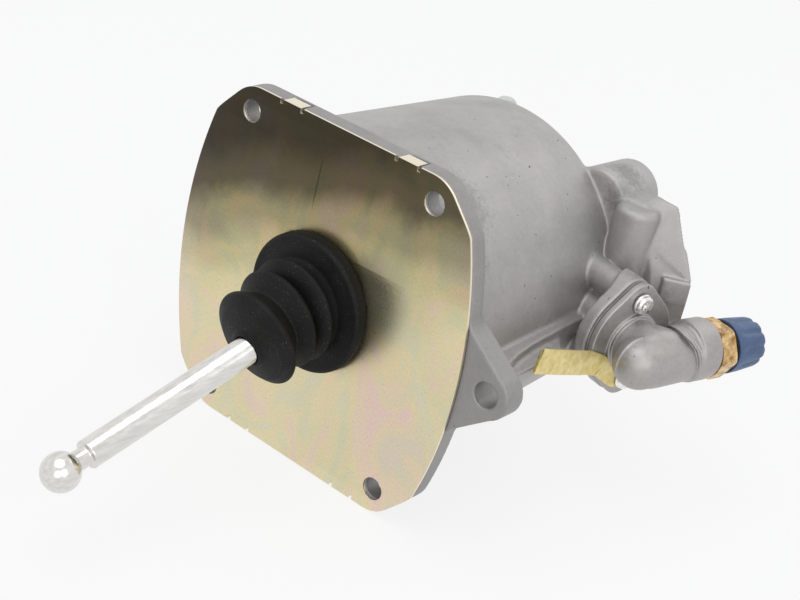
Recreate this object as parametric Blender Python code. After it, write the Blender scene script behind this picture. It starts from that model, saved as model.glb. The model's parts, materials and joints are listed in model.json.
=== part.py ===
# Clutch servo of a truck, modelled in metres.
# +X runs along the servo's axis towards the pushrod ball, +Z is the plate's vertical, and the
# origin is the centre of the mounting face, which is the front of the cover plate.

import math

import bmesh
import bpy
from mathutils import Matrix, Vector

X_AXIS = Vector((1, 0, 0))
Y_AXIS = Vector((0, 1, 0))
Z_AXIS = Vector((0, 0, 1))

# Clearances
FACE_GAP = 0.0003
RUNNING_GAP = 0.0003
THREAD_GAP = 0.0003
OVERCUT = 0.002

# Cylinder bore, the bell of the casting around it and the hub behind
CYLINDER_BORE_RADIUS = 0.051
BELL_FRONT_WALL = 0.0108
BELL_REAR_WALL = 0.0066
BELL_FRONT_RADIUS = CYLINDER_BORE_RADIUS + BELL_FRONT_WALL
BELL_REAR_RADIUS = CYLINDER_BORE_RADIUS + BELL_REAR_WALL
CYLINDER_FLOOR_X = -0.098
REAR_WALL = 0.008
REAR_WALL_X = CYLINDER_FLOOR_X - REAR_WALL
BELL_SHOULDER_ROUND = 0.0065
BELL_SHOULDER_X = REAR_WALL_X + BELL_SHOULDER_ROUND
PLUNGER_RADIUS = 0.0096
PLUNGER_FIT = 0.00055
PLUNGER_BORE_RADIUS = PLUNGER_RADIUS + PLUNGER_FIT
PLUNGER_REAR_X = REAR_WALL_X - 0.010
HUB_WALL = 0.01085
HUB_RADIUS = PLUNGER_BORE_RADIUS + HUB_WALL
HUB_LENGTH = 0.044
HUB_REAR_X = REAR_WALL_X - HUB_LENGTH
HUB_FILLET = 0.004
HUB_END_WALL = 0.004
PLUNGER_BORE_REAR_X = HUB_REAR_X + HUB_END_WALL
FLUID_PORT_RADIUS = 0.0055
GUIDE_BUSH_WALL = 0.00455
GUIDE_POCKET_RADIUS = PLUNGER_RADIUS + GUIDE_BUSH_WALL + 0.00115
GUIDE_POCKET_DEPTH = 0.0105

# Cover plate and the flange behind it
PLATE_THICKNESS = 0.0012
FLANGE_SIDE_BORDER = 0.0037
FLANGE_TOP_BORDER = 0.0024
FLANGE_HALF_WIDTH = BELL_FRONT_RADIUS + FLANGE_SIDE_BORDER
FLANGE_HALF_HEIGHT = BELL_FRONT_RADIUS + FLANGE_TOP_BORDER
FLANGE_SIDE_DROP = 0.0137
FLANGE_SIDE_HALF_HEIGHT = FLANGE_HALF_HEIGHT - FLANGE_SIDE_DROP
FLANGE_SIDE_BULGE = 0.008
FLANGE_CORNER_SETBACK = 0.021
FLANGE_TOP_HALF_WIDTH = FLANGE_HALF_WIDTH - FLANGE_CORNER_SETBACK
FLANGE_CORNER_RADIUS = 0.006
FLANGE_THICKNESS = 0.0068
HOLE_MARGIN_Y = 0.024
HOLE_MARGIN_Z = 0.0092
HOLE_PITCH_Y = 2 * (FLANGE_HALF_WIDTH - HOLE_MARGIN_Y)
HOLE_PITCH_Z = 2 * (FLANGE_HALF_HEIGHT - HOLE_MARGIN_Z)
MOUNT_HOLE_RADIUS = 0.0042
TAB_CENTRES_Y = (-0.024, 0.028)
TAB_WIDTH = 0.008
TAB_LENGTH = 0.0055
TAB_RELIEF_WIDTH = 0.0015
TAB_RELIEF_DEPTH = 0.0018

# Ear on the flange's side
EAR_REACH = 0.0105
EAR_CENTRE_Y = FLANGE_HALF_WIDTH + EAR_REACH
EAR_CENTRE_Z = 0.0009
EAR_RADIUS = 0.0088
EAR_HOLE_RADIUS = 0.00395
EAR_THICKNESS = 0.0095
EAR_ROOT_DEPTH = 0.0055
EAR_ROOT_Y = FLANGE_HALF_WIDTH - EAR_ROOT_DEPTH
EAR_ROOT_TOP_Z = EAR_CENTRE_Z + 0.0226
EAR_ROOT_BOTTOM_Z = EAR_CENTRE_Z - 0.0234

# Rib and gusset between the ear and the side port
RIB_INNER_Y = CYLINDER_BORE_RADIUS - 0.006
RIB_TOP_Z = 0.0022
RIB_THICKNESS = 0.0058
RIB_REAR_X = -0.084
# The outer edges of the rib and of the wider gusset below it: x, and how far past the bell
RIB_EDGE = ((RIB_REAR_X, 0.0009), (-0.057, 0.0019), (-0.0434, 0.0029), (-0.025, 0.0065),
            (-0.010, 0.0135))
GUSSET_TOP_Z = -0.0012
GUSSET_THICKNESS = 0.0044
GUSSET_EDGE = ((-0.065, -0.0013), (-0.056, 0.0077), (-0.042, 0.0095), (-0.024, 0.0102),
               (-0.010, 0.0122))

# Side port: the elbow's face is turned a little to the front
PORT_ANGLE = math.radians(15.7)
PORT_SETBACK = 0.015
PORT_STAND_OFF = 0.0192
PORT_FACE_X = CYLINDER_FLOOR_X + PORT_SETBACK
PORT_FACE_Y = BELL_FRONT_RADIUS + PORT_STAND_OFF
PORT_FACE_Z = 0.0004
ELBOW_FLANGE_THICKNESS = 0.0026
ELBOW_FLANGE_HALF_WIDTH = 0.0182
ELBOW_LOBE_RADIUS = 0.0072
ELBOW_BOLT_PITCH = 0.0302
ELBOW_BOLT_HOLE_RADIUS = 0.0027
GASKET_THICKNESS = 0.0008
PAD_BORDER = 0.0014
PAD_DEPTH = 0.0334
PAD_PLATE_DEPTH = 0.0090
PAD_TUBE_RADIUS = 0.0095
PAD_BOSS_RADIUS = 0.0058
PAD_BOSS_DEPTH = 0.026
PAD_BOLT_DEPTH = 0.016
ELBOW_NECK_RADIUS = 0.0099
ELBOW_AXIS_DROP = 0.0007
ELBOW_AXIS_OFFSET = 0.0123
ELBOW_BORE_RADIUS = 0.006
ELBOW_FRONT_RADIUS = 0.0098
ELBOW_TUBE_RADIUS = 0.0101
ELBOW_COLLAR_RADIUS = 0.0109
ELBOW_MOUTH_RADIUS = 0.0100
ELBOW_FRONT_LENGTH = 0.0071
ELBOW_TUBE_LENGTH = 0.0114
ELBOW_COLLAR_LENGTH = 0.0099
ELBOW_MOUTH_LENGTH = 0.0037
ELBOW_THREAD_DEPTH = 0.009
UNION_HEX_RADIUS = 0.0112
UNION_HEX_LENGTH = 0.0072
UNION_THREAD_RADIUS = 0.0086
UNION_BORE_RADIUS = 0.0048
UNION_NOSE_LENGTH = 0.0115
UNION_SEAL_LENGTH = 0.0010
UNION_SEAL_RADIUS = 0.0100
CAP_LENGTH = 0.0151
CAP_RADIUS = 0.0102
CAP_END_RADIUS = 0.0094
CAP_WALL_END = 0.0020
CAP_FLUTES = 10
CAP_FLUTE_DEPTH = 0.00055

# Screws of the elbow
SCREW_SHANK_RADIUS = 0.0024
SCREW_HEAD_RADIUS = 0.0034
SCREW_HEAD_HEIGHT = 0.0018
SCREW_COLLAR_RADIUS = 0.0039
SCREW_COLLAR_HEIGHT = 0.0009
SCREW_SOCKET_RADIUS = 0.0019
SCREW_SOCKET_DEPTH = 0.0015
SCREW_LENGTH = 0.018

# Blank tag held under the elbow's lower screw
TAG_THICKNESS = 0.0008
TAG_WIDTH = 0.0094
TAG_REACH = 0.0537
TAG_FRONT_X = PORT_FACE_X + TAG_REACH
TAG_FRONT_Z = PORT_FACE_Z + 0.0050
TAG_STAND_OFF = 0.0141
TAG_BOW_Y = 0.0003
TAG_SLOPE = math.radians(17.5)
TAG_DROOP = 0.0001
TAG_LEAD = 0.0193

# Control valve, along the valve bore
VALVE_BORE_RADIUS = 0.0085
VALVE_PISTON_FIT = 0.0004
VALVE_PISTON_RADIUS = VALVE_BORE_RADIUS - VALVE_PISTON_FIT
VALVE_PISTON_LENGTH = 0.0042
VALVE_STEM_RADIUS = 0.0020
VALVE_PISTON_SETBACK = 0.0008
VALVE_RING_RADIUS = 0.0007
VALVE_SPRING_SPACE = 0.0060
VALVE_SEAT_LENGTH = 0.0022
VALVE_SEAT_HOLE_RADIUS = 0.0030
INLET_VALVE_RADIUS = 0.0055
INLET_VALVE_LENGTH = 0.0020
INLET_SPRING_SPACE = 0.0040
VALVE_COVER_LENGTH = 0.0018
VALVE_END_LIP = 0.0009
EXHAUST_FLAP_RADIUS = 0.0052
EXHAUST_FLAP_LENGTH = 0.0014
EXHAUST_STEM_RADIUS = 0.0015
CIRCLIP_THICKNESS = 0.0012
CIRCLIP_WIDTH = 0.0030
CIRCLIP_GROOVE_DEPTH = 0.0010
CIRCLIP_SETBACK = 0.0011
GROOVE_SIDE_GAP = 0.0003

# Valve block and round valve boss behind the bell
VALVE_INSET = 0.0156
VALVE_CENTRE_Y = BELL_REAR_RADIUS - VALVE_INSET
VALVE_CENTRE_Z = 0.0345
VALVE_BOSS_WALL = 0.0038
VALVE_BOSS_RADIUS = VALVE_BORE_RADIUS + VALVE_BOSS_WALL
VALVE_BORE_WALL = 0.006
VALVE_BOSS_FRONT_WALL = 0.0025
VALVE_BORE_FRONT_X = CYLINDER_FLOOR_X - VALVE_BORE_WALL
VALVE_STACK_LENGTH = (VALVE_PISTON_SETBACK + VALVE_PISTON_LENGTH + VALVE_SPRING_SPACE
                      + VALVE_SEAT_LENGTH + FACE_GAP + INLET_VALVE_LENGTH + INLET_SPRING_SPACE
                      + VALVE_COVER_LENGTH + FACE_GAP + CIRCLIP_THICKNESS)
VALVE_BOSS_REAR_X = VALVE_BORE_FRONT_X - VALVE_STACK_LENGTH - GROOVE_SIDE_GAP - VALVE_END_LIP
BLOCK_FRONT_X = CYLINDER_FLOOR_X - 0.0050
BLOCK_REAR_X = REAR_WALL_X - 0.0045
BLOCK_PORT_GAP = 0.0202
BLOCK_LOWER_FRONT_X = PORT_FACE_X - BLOCK_PORT_GAP
BLOCK_STAND_OFF = 0.0048
BLOCK_LOW_Z = 0.0176
BLOCK_FRONT_SHIFT = (-0.0073, -0.0063)
BLOCK_SLANT = 0.0123
BULGE_RADIUS = 0.0084
BULGE_PLACE = (-0.103, 0.060, 0.004)
BULGE_HEIGHT = 0.0365
BLOCK_OUTER_Y = PORT_FACE_Y + BLOCK_STAND_OFF
# The block's outer corners, from (BLOCK_OUTER_Y, VALVE_CENTRE_Z)
BLOCK_FRONT_CORNERS = ((-0.0082, -0.0055), (-0.0120, 0.0040), (-0.0148, 0.0105),
                       (-0.0168, 0.0133), (-0.0240, 0.0135))
BLOCK_REAR_CORNERS = ((-0.0066, -0.0050), (-0.0100, 0.0017), (-0.0128, 0.0077),
                      (-0.0143, 0.0095), (-0.0230, 0.0100))
BLOCK_LOWER_CORNERS = ((-0.0238, -0.0605), (-0.0060, -0.0525), (-0.0005, -0.0345),
                       (0.0, -0.0225), (-0.0010, -0.0160), (-0.0068, -0.0045))
# The block's inner corners and the bridge to the bell, from the valve's centre
BLOCK_FRONT_INNER = ((0.0040, 0.0095), (-0.0120, 0.0035))
BLOCK_REAR_INNER = ((0.0040, 0.0075), (-0.0120, 0.0015))
BLOCK_LOWER_INNER = ((-0.0120, -0.0045), (-0.0220, -0.0525))
BRIDGE_CORNERS = ((-0.0460, -0.0145), (-0.0300, -0.0525), (0.0080, -0.0465),
                  (0.0180, -0.0045), (-0.0060, 0.0095))
BRIDGE_STAND_OUT = 0.005
BRIDGE_ROOT = 0.002
LUG_HEIGHT = 0.0090
LUG_CORNERS = ((0.0, -0.0058), (0.0036, -0.0118), (0.0071, -0.0088), (0.0013, 0.0))
LUG_BOTTOM_Z = 0.0096

# Bleed screw on the rear
BLEED_BOSS_RADIUS = 0.0075
BLEED_X = REAR_WALL_X - BLEED_BOSS_RADIUS
BLEED_Y = -0.0130
BLEED_DROP = 0.0176
BLEED_BOSS_TOP_Z = BELL_REAR_RADIUS - BLEED_DROP
BLEED_THREAD_RADIUS = 0.0040
BLEED_THREAD_DEPTH = 0.012
BLEED_HEX_RADIUS = 0.0056
BLEED_HEX_HEIGHT = 0.0042
BLEED_NIPPLE_RADIUS = 0.0028
BLEED_NIPPLE_HEIGHT = 0.0070
BLEED_CAP_RADIUS = 0.0043
BLEED_CAP_HEIGHT = 0.0085
BLEED_PASSAGE_RADIUS = 0.0014

# Pneumatic piston
PISTON_FRONT_X = -0.005
PISTON_RIM_LENGTH = 0.019
PISTON_RIM_WALL = 0.0067
PISTON_WEB_SETBACK = 0.003
PISTON_WEB_THICKNESS = 0.006
PISTON_HUB_WALL = 0.0051
PISTON_HUB_FRONT_X = -0.0044
PISTON_HUB_REAR_X = -0.037
SEAL_GROOVE_SETBACK = 0.0035
SEAL_WIDTH = 0.0050
SEAL_DEPTH = 0.0042
GUIDE_RING_SETBACK = 0.0115
GUIDE_RING_WIDTH = 0.0050
GUIDE_RING_DEPTH = 0.0018

# Pushrod and its seat
PIVOT_X = -0.011
ROD_TILT = math.radians(15.0)
ROD_RADIUS = 0.0050
ROD_NECK_RADIUS = 0.0034
ROD_NECK_LENGTH = 0.0045
ROD_BALL_RADIUS = 0.0066
ROD_INNER_BALL_RADIUS = 0.0065
ROD_LENGTH = 0.1217
LINER_WALL = 0.0016
LINER_INNER_RADIUS = ROD_INNER_BALL_RADIUS + RUNNING_GAP
LINER_OUTER_RADIUS = LINER_INNER_RADIUS + LINER_WALL
LINER_LIP_X = 0.0025
SOCKET_RADIUS = LINER_OUTER_RADIUS + RUNNING_GAP
PISTON_HUB_RADIUS = SOCKET_RADIUS + PISTON_HUB_WALL
RETAINER_INNER_RADIUS = ROD_RADIUS + 0.0023
RETAINER_GROOVE_DEPTH = 0.0009
RETAINER_OUTER_RADIUS = SOCKET_RADIUS + RETAINER_GROOVE_DEPTH
RETAINER_SETBACK = 0.0012
RETAINER_THICKNESS = 0.0012

# Hydraulic plunger, its guide and seals
PLUNGER_THREAD_RADIUS = 0.0062
PLUNGER_THREAD_LENGTH = 0.0105
PLUNGER_SEAL_SETBACK = 0.0022
PLUNGER_SEAL_WIDTH = 0.0026
PLUNGER_SEAL_DEPTH = 0.0022
GUIDE_BUSH_LENGTH = 0.0072

# Springs
PRELOAD_RADIUS = CYLINDER_BORE_RADIUS - 0.021
PRELOAD_WIRE_RADIUS = 0.0021
PRELOAD_TURNS = 5.5
VALVE_SPRING_RADIUS = 0.0048
INLET_SPRING_RADIUS = 0.0040
SMALL_WIRE_RADIUS = 0.0005

# Fluid port plug
PLUG_HEAD_RADIUS = 0.0092
PLUG_HEAD_LENGTH = 0.0070
PLUG_SHANK_LENGTH = 0.0035

# Dust boot
BOOT_PLATE_HOLE_RADIUS = 0.0215
BOOT_BASE_RADIUS = BOOT_PLATE_HOLE_RADIUS + 0.0039
BOOT_BASE_THICKNESS = 0.0044
BOOT_NECK_WALL = 0.0014
BOOT_INNER_RADIUS = BOOT_PLATE_HOLE_RADIUS - FACE_GAP - BOOT_NECK_WALL
BOOT_LIP_RADIUS = BOOT_PLATE_HOLE_RADIUS + 0.0015
BOOT_LIP_THICKNESS = 0.0016
BOOT_WALL = 0.0017
BOOT_NOSE_X = 0.0300
BOOT_NOSE_TILT = math.radians(19.0)
BOOT_FOLD_RADII = (0.0187, 0.0180)
BOOT_FOLD_STATIONS = (0.0100, 0.0168)
BOOT_VALLEY_RADIUS = 0.0138
BOOT_VALLEY_STATIONS = (0.0070, 0.0135, 0.0205)
BOOT_CUP_RIM_RADIUS = 0.0178
BOOT_CUP_RIM_STATION = 0.0256
BOOT_CUP_FRONT_RADIUS = 0.0110
BOOT_LIP_LENGTH = 0.0012

ROUND_STEPS = 20
BORE_STEPS = 36


# Materials

def material(name, colour, roughness, metallic):
    surface = bpy.data.materials.new(name)
    surface.use_nodes = True
    shader = surface.node_tree.nodes["Principled BSDF"]
    shader.inputs["Base Color"].default_value = (*colour, 1.0)
    shader.inputs["Roughness"].default_value = roughness
    shader.inputs["Metallic"].default_value = metallic
    surface.diffuse_color = (*colour, 1.0)
    return surface


def part_materials():
    return {
        "casting": material("cast_aluminium", (0.56, 0.55, 0.54), 0.55, 0.8),
        "plate": material("passivated_steel", (0.55, 0.49, 0.33), 0.35, 0.9),
        "rubber": material("black_rubber", (0.022, 0.021, 0.021), 0.65, 0.0),
        "zinc": material("bright_zinc", (0.72, 0.72, 0.70), 0.28, 1.0),
        "elbow": material("die_cast_alloy", (0.50, 0.49, 0.48), 0.42, 0.8),
        "brass": material("brass", (0.62, 0.45, 0.24), 0.32, 1.0),
        "cap": material("blue_plastic", (0.07, 0.14, 0.33), 0.45, 0.0),
        "tag": material("yellow_tag", (0.72, 0.56, 0.22), 0.40, 0.6),
        "gasket": material("gasket_sheet", (0.16, 0.15, 0.14), 0.85, 0.0),
        "piston": material("machined_aluminium", (0.68, 0.68, 0.68), 0.30, 0.9),
        "polymer": material("white_polymer", (0.75, 0.74, 0.70), 0.50, 0.0),
        "steel": material("ground_steel", (0.60, 0.60, 0.60), 0.25, 1.0),
        "spring": material("spring_steel", (0.30, 0.30, 0.31), 0.40, 1.0),
        "white_cap": material("pale_rubber", (0.70, 0.72, 0.70), 0.60, 0.0),
        "plug": material("red_plastic", (0.50, 0.05, 0.04), 0.45, 0.0),
    }


# Mesh helpers

def remove_all():
    for thing in list(bpy.data.objects):
        bpy.data.objects.remove(thing, do_unlink=True)


def finish_mesh(name, sheet, smooth_angle=35.0):
    bmesh.ops.recalc_face_normals(sheet, faces=sheet.faces)
    mesh = bpy.data.meshes.new(name)
    sheet.to_mesh(mesh)
    sheet.free()
    mesh.shade_smooth()
    mesh.set_sharp_from_angle(angle=math.radians(smooth_angle))
    thing = bpy.data.objects.new(name, mesh)
    bpy.context.scene.collection.objects.link(thing)
    return thing


def side_axes(axis):
    reference = Z_AXIS if abs(axis.z) < 0.9 else X_AXIS
    across = reference.cross(axis).normalized()
    upward = axis.cross(across).normalized()
    return across, upward


def skin_loops(sheet, loops, closed):
    """Joins loops of vertices with faces; a loop of one vertex is a pole."""
    pairs = list(zip(loops, loops[1:]))
    if closed:
        pairs.append((loops[-1], loops[0]))
    for first, second in pairs:
        count = max(len(first), len(second))
        for step in range(count):
            following = (step + 1) % count
            if len(first) == 1:
                sheet.faces.new((first[0], second[following], second[step]))
            elif len(second) == 1:
                sheet.faces.new((first[step], first[following], second[0]))
            else:
                corners = (first[step], first[following], second[following], second[step])
                sheet.faces.new(corners)


def turned(name, profile, centre=Vector((0, 0, 0)), axis=X_AXIS, steps=ROUND_STEPS, scallop=None):
    """Turns (station, radius) points about an axis; a profile with no zero radius is a ring."""
    across, upward = side_axes(axis)
    sheet = bmesh.new()
    loops = []
    for station, radius in profile:
        base = centre + axis * station
        if radius == 0:
            loops.append([sheet.verts.new(base)])
            continue
        loop = []
        for step in range(steps):
            angle = 2 * math.pi * step / steps
            reach = scallop(angle, radius) if scallop else radius
            offset = across * (reach * math.cos(angle)) + upward * (reach * math.sin(angle))
            loop.append(sheet.verts.new(base + offset))
        loops.append(loop)
    skin_loops(sheet, loops, closed=profile[0][1] > 0)
    return finish_mesh(name, sheet)


def rod(name, radius, start, length, axis=X_AXIS, steps=ROUND_STEPS):
    profile = [(0, 0), (0, radius), (length, radius), (length, 0)]
    return turned(name, profile, start, axis, steps)


def prism(name, outline, origin, right, upward, depth):
    """Extrudes a flat outline by depth along right x upward."""
    outward = right.cross(upward).normalized()
    sheet = bmesh.new()
    near = [sheet.verts.new(origin + right * p + upward * q) for p, q in outline]
    far = [sheet.verts.new(vert.co + outward * depth) for vert in near]
    sheet.faces.new(list(reversed(near)))
    sheet.faces.new(far)
    skin_loops(sheet, [near, far], closed=False)
    return finish_mesh(name, sheet)


def combine(target, tool, operation):
    """Bakes one Boolean into the target's mesh and removes the tool."""
    modifier = target.modifiers.new("combine", "BOOLEAN")
    modifier.operation = operation
    modifier.solver = "EXACT"
    modifier.object = tool
    graph = bpy.context.evaluated_depsgraph_get()
    baked = bpy.data.meshes.new_from_object(target.evaluated_get(graph))
    target.modifiers.clear()
    target.data = baked
    bpy.data.objects.remove(tool, do_unlink=True)
    return target


def weld_up(target, smooth_angle=35.0):
    """Removes doubled points left by Booleans and marks the sharp edges."""
    sheet = bmesh.new()
    sheet.from_mesh(target.data)
    bmesh.ops.remove_doubles(sheet, verts=sheet.verts, dist=0.00001)
    bmesh.ops.dissolve_degenerate(sheet, edges=sheet.edges, dist=0.00001)
    sheet.to_mesh(target.data)
    sheet.free()
    target.data.shade_smooth()
    target.data.set_sharp_from_angle(angle=math.radians(smooth_angle))


def join(target, tool):
    return combine(target, tool, "UNION")


def cut(target, tool):
    return combine(target, tool, "DIFFERENCE")


def arc(centre, radius, start, end, count):
    points = []
    for step in range(count + 1):
        angle = start + (end - start) * step / count
        points.append((centre[0] + radius * math.cos(angle), centre[1] + radius * math.sin(angle)))
    return points


def rounded(corners, radius, count=3):
    """Replaces each sharp corner of a convex outline with a short arc of chords."""
    outline = []
    total = len(corners)
    for index, corner in enumerate(corners):
        here = Vector(corner)
        before = Vector(corners[index - 1])
        after = Vector(corners[(index + 1) % total])
        first = here + (before - here).normalized() * min(radius, (before - here).length * 0.45)
        last = here + (after - here).normalized() * min(radius, (after - here).length * 0.45)
        for step in range(count + 1):
            share = step / count
            point = first * (1 - share) ** 2 + here * (2 * share * (1 - share)) + last * share ** 2
            outline.append(tuple(point))
    return outline


# Flange, plate and ear outlines in the plate's plane, as (y, z)

def flange_outline(inset=0.0):
    side_radius = (FLANGE_SIDE_HALF_HEIGHT ** 2 + FLANGE_SIDE_BULGE ** 2) / (2 * FLANGE_SIDE_BULGE)
    half_angle = math.asin(FLANGE_SIDE_HALF_HEIGHT / side_radius)
    centre = (FLANGE_HALF_WIDTH - side_radius, 0.0)
    right = arc(centre, side_radius - inset, -half_angle, half_angle, 10)
    top = FLANGE_HALF_HEIGHT - inset
    corner = rounded([right[-2], right[-1], (FLANGE_TOP_HALF_WIDTH, top), (0.0, top)],
                     FLANGE_CORNER_RADIUS)
    quarter = corner[4:12]
    half = [(y, -z) for y, z in reversed(quarter)] + right[1:-1] + quarter
    return half + [(-y, -z) for y, z in half]


def ear_outline():
    centre = (EAR_CENTRE_Y, EAR_CENTRE_Z)
    tip = arc(centre, EAR_RADIUS, math.radians(-66), math.radians(62), 10)
    return [(EAR_ROOT_Y, EAR_ROOT_BOTTOM_Z)] + tip + [(EAR_ROOT_Y, EAR_ROOT_TOP_Z)]


def mount_hole_places():
    half_y = HOLE_PITCH_Y / 2
    half_z = HOLE_PITCH_Z / 2
    return [(y, z) for y in (-half_y, half_y) for z in (-half_z, half_z)]


FLANGE_FRONT_X = -PLATE_THICKNESS - FACE_GAP
FLANGE_REAR_X = FLANGE_FRONT_X - FLANGE_THICKNESS
EAR_REAR_X = FLANGE_FRONT_X - EAR_THICKNESS

# Directions of the side port: out of its face, and along the outlet to the rear
PORT_OUT = Vector((math.sin(PORT_ANGLE), math.cos(PORT_ANGLE), 0))
PORT_BACK = Vector((-math.cos(PORT_ANGLE), math.sin(PORT_ANGLE), 0))
PORT_CENTRE = Vector((PORT_FACE_X, PORT_FACE_Y, PORT_FACE_Z))
ELBOW_BACK = PORT_CENTRE - PORT_OUT * ELBOW_FLANGE_THICKNESS
PAD_CENTRE = ELBOW_BACK - PORT_OUT * (GASKET_THICKNESS + 2 * FACE_GAP)
ELBOW_CORNER = PORT_CENTRE + PORT_OUT * ELBOW_AXIS_OFFSET - Z_AXIS * ELBOW_AXIS_DROP
VALVE_AXIS = Vector((0, VALVE_CENTRE_Y, VALVE_CENTRE_Z))


def lobed_outline(border=0.0):
    """Two-bolt flange outline, as (along PORT_BACK, up)."""
    half_pitch = ELBOW_BOLT_PITCH / 2
    belly = ELBOW_FLANGE_HALF_WIDTH + border
    lobe = ELBOW_LOBE_RADIUS + border
    reach = math.acos((belly - lobe) / half_pitch)
    side = math.pi / 2 - reach
    outline = arc((0, 0), belly, -side, side, 6)
    outline += arc((0, half_pitch), lobe, side, math.pi - side, 8)
    outline += arc((0, 0), belly, math.pi - side, math.pi + side, 6)
    outline += arc((0, -half_pitch), lobe, math.pi + side, 2 * math.pi - side, 8)
    return outline


def port_prism(name, outline, origin, depth):
    """Extrudes an outline drawn on the port's face inwards by depth."""
    return prism(name, outline, origin, PORT_BACK, Z_AXIS, depth)


def bolt_places():
    half_pitch = ELBOW_BOLT_PITCH / 2
    return {"upper": Z_AXIS * half_pitch, "lower": Z_AXIS * -half_pitch}


# Housing casting

def bell_solid():
    shoulder = arc((BELL_SHOULDER_X, BELL_REAR_RADIUS - BELL_SHOULDER_ROUND), BELL_SHOULDER_ROUND,
                   math.pi / 2, math.pi, 5)
    neck = arc((REAR_WALL_X - HUB_FILLET, HUB_RADIUS + HUB_FILLET), HUB_FILLET,
               0, -math.pi / 2, 3)
    profile = [(FLANGE_FRONT_X - FACE_GAP, 0), (FLANGE_FRONT_X - FACE_GAP, BELL_FRONT_RADIUS)]
    profile += [(FLANGE_REAR_X, BELL_FRONT_RADIUS)] + shoulder + neck
    profile += [(HUB_REAR_X + 0.0015, HUB_RADIUS - 0.0008), (HUB_REAR_X, HUB_RADIUS - 0.0025)]
    profile += [(HUB_REAR_X, 0)]
    return turned("housing", profile, steps=BORE_STEPS)


def add_flange(housing):
    flange = prism("flange", flange_outline(), Vector((FLANGE_REAR_X, 0, 0)),
                   Y_AXIS, Z_AXIS, FLANGE_THICKNESS)
    join(housing, flange)
    ear = prism("ear", ear_outline(), Vector((EAR_REAR_X, 0, 0)), Y_AXIS, Z_AXIS, EAR_THICKNESS)
    join(housing, ear)


def add_rib(housing):
    for name, edge, top, thickness in (("rib", RIB_EDGE, RIB_TOP_Z, RIB_THICKNESS),
                                       ("gusset", GUSSET_EDGE, GUSSET_TOP_Z, GUSSET_THICKNESS)):
        outline = [(edge[-1][0], RIB_INNER_Y), (edge[0][0], RIB_INNER_Y)]
        outline += [(x, BELL_FRONT_RADIUS + reach) for x, reach in edge]
        base = Vector((0, 0, top - thickness))
        join(housing, prism(name, outline, base, X_AXIS, Y_AXIS, thickness))


def add_port_pad(housing):
    start = PAD_CENTRE - PORT_OUT * PAD_PLATE_DEPTH
    join(housing, port_prism("pad", lobed_outline(PAD_BORDER), start, PAD_PLATE_DEPTH))
    start = PAD_CENTRE - PORT_OUT * FACE_GAP
    join(housing, rod("pad_tube", PAD_TUBE_RADIUS, start, PAD_DEPTH - FACE_GAP, -PORT_OUT, 28))
    for name, place in bolt_places().items():
        join(housing, rod("pad_boss_" + name, PAD_BOSS_RADIUS, start + place,
                          PAD_BOSS_DEPTH - FACE_GAP, -PORT_OUT, 20))


def loft(name, rear, front, rear_x, front_x):
    """Closed solid between two outlines of (y, z) points with equal counts."""
    sheet = bmesh.new()
    near = [sheet.verts.new((rear_x, y, z)) for y, z in rear]
    far = [sheet.verts.new((front_x, y, z)) for y, z in front]
    sheet.faces.new(list(reversed(near)))
    sheet.faces.new(far)
    skin_loops(sheet, [near, far], closed=False)
    return finish_mesh(name, sheet)


def placed(points, centre_y, centre_z=VALVE_CENTRE_Z):
    return [(centre_y + y, centre_z + z) for y, z in points]


def add_valve_block(housing):
    """Upper block beside the round boss, lower block behind the port and the wall between."""
    low = BLOCK_LOW_Z
    outer = BLOCK_OUTER_Y
    inner = VALVE_CENTRE_Y - 0.012
    front = [(inner, low), (outer - 0.0040, low)] + placed(BLOCK_FRONT_CORNERS, outer)
    front += placed(BLOCK_FRONT_INNER, VALVE_CENTRE_Y)
    front = [(y + BLOCK_FRONT_SHIFT[0], z + BLOCK_FRONT_SHIFT[1]) for y, z in front]
    rear = [(inner, low), (outer - 0.0005, low)] + placed(BLOCK_REAR_CORNERS, outer)
    rear += placed(BLOCK_REAR_INNER, VALVE_CENTRE_Y)
    join(housing, loft("upper", rear, front, BLOCK_REAR_X, BLOCK_FRONT_X))
    lower = rounded(placed(BLOCK_LOWER_CORNERS, outer) + placed(BLOCK_LOWER_INNER, VALVE_CENTRE_Y),
                    0.003)
    overlap = 0.0006
    slanted = [(y - BLOCK_SLANT if y > outer - 0.015 else y, z) for y, z in lower]
    join(housing, loft("lower", lower, slanted, BLOCK_REAR_X - overlap, BLOCK_LOWER_FRONT_X))
    join(housing, rod("bulge", BULGE_RADIUS, Vector(BULGE_PLACE), BULGE_HEIGHT, Z_AXIS, 28))
    bridge = rounded(placed(BRIDGE_CORNERS, VALVE_CENTRE_Y), 0.006)
    rear_x = BLOCK_REAR_X - BRIDGE_STAND_OUT
    depth = REAR_WALL_X + BRIDGE_ROOT - rear_x
    base = Vector((rear_x, 0, 0))
    join(housing, prism("bridge", bridge, base, Y_AXIS, Z_AXIS, depth))
    lug = [(BLOCK_REAR_X + x, outer + y) for x, y in LUG_CORNERS]
    join(housing, prism("lug", lug, Vector((0, 0, LUG_BOTTOM_Z)), X_AXIS, Y_AXIS, LUG_HEIGHT))


def add_valve_boss(housing):
    length = VALVE_BORE_FRONT_X + VALVE_BOSS_FRONT_WALL - VALVE_BOSS_REAR_X
    edge = 0.0012
    profile = [(0, 0), (0, VALVE_BOSS_RADIUS - edge), (edge, VALVE_BOSS_RADIUS),
               (length, VALVE_BOSS_RADIUS + edge), (length, 0)]
    centre = Vector((VALVE_BOSS_REAR_X, 0, 0)) + VALVE_AXIS
    join(housing, turned("boss", profile, centre, X_AXIS, 36))


def add_bleed_boss(housing):
    start = Vector((BLEED_X, BLEED_Y, 0.004))
    height = BLEED_BOSS_TOP_Z - start.z
    join(housing, rod("bleed_boss", BLEED_BOSS_RADIUS, start, height, Z_AXIS, 24))


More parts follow.
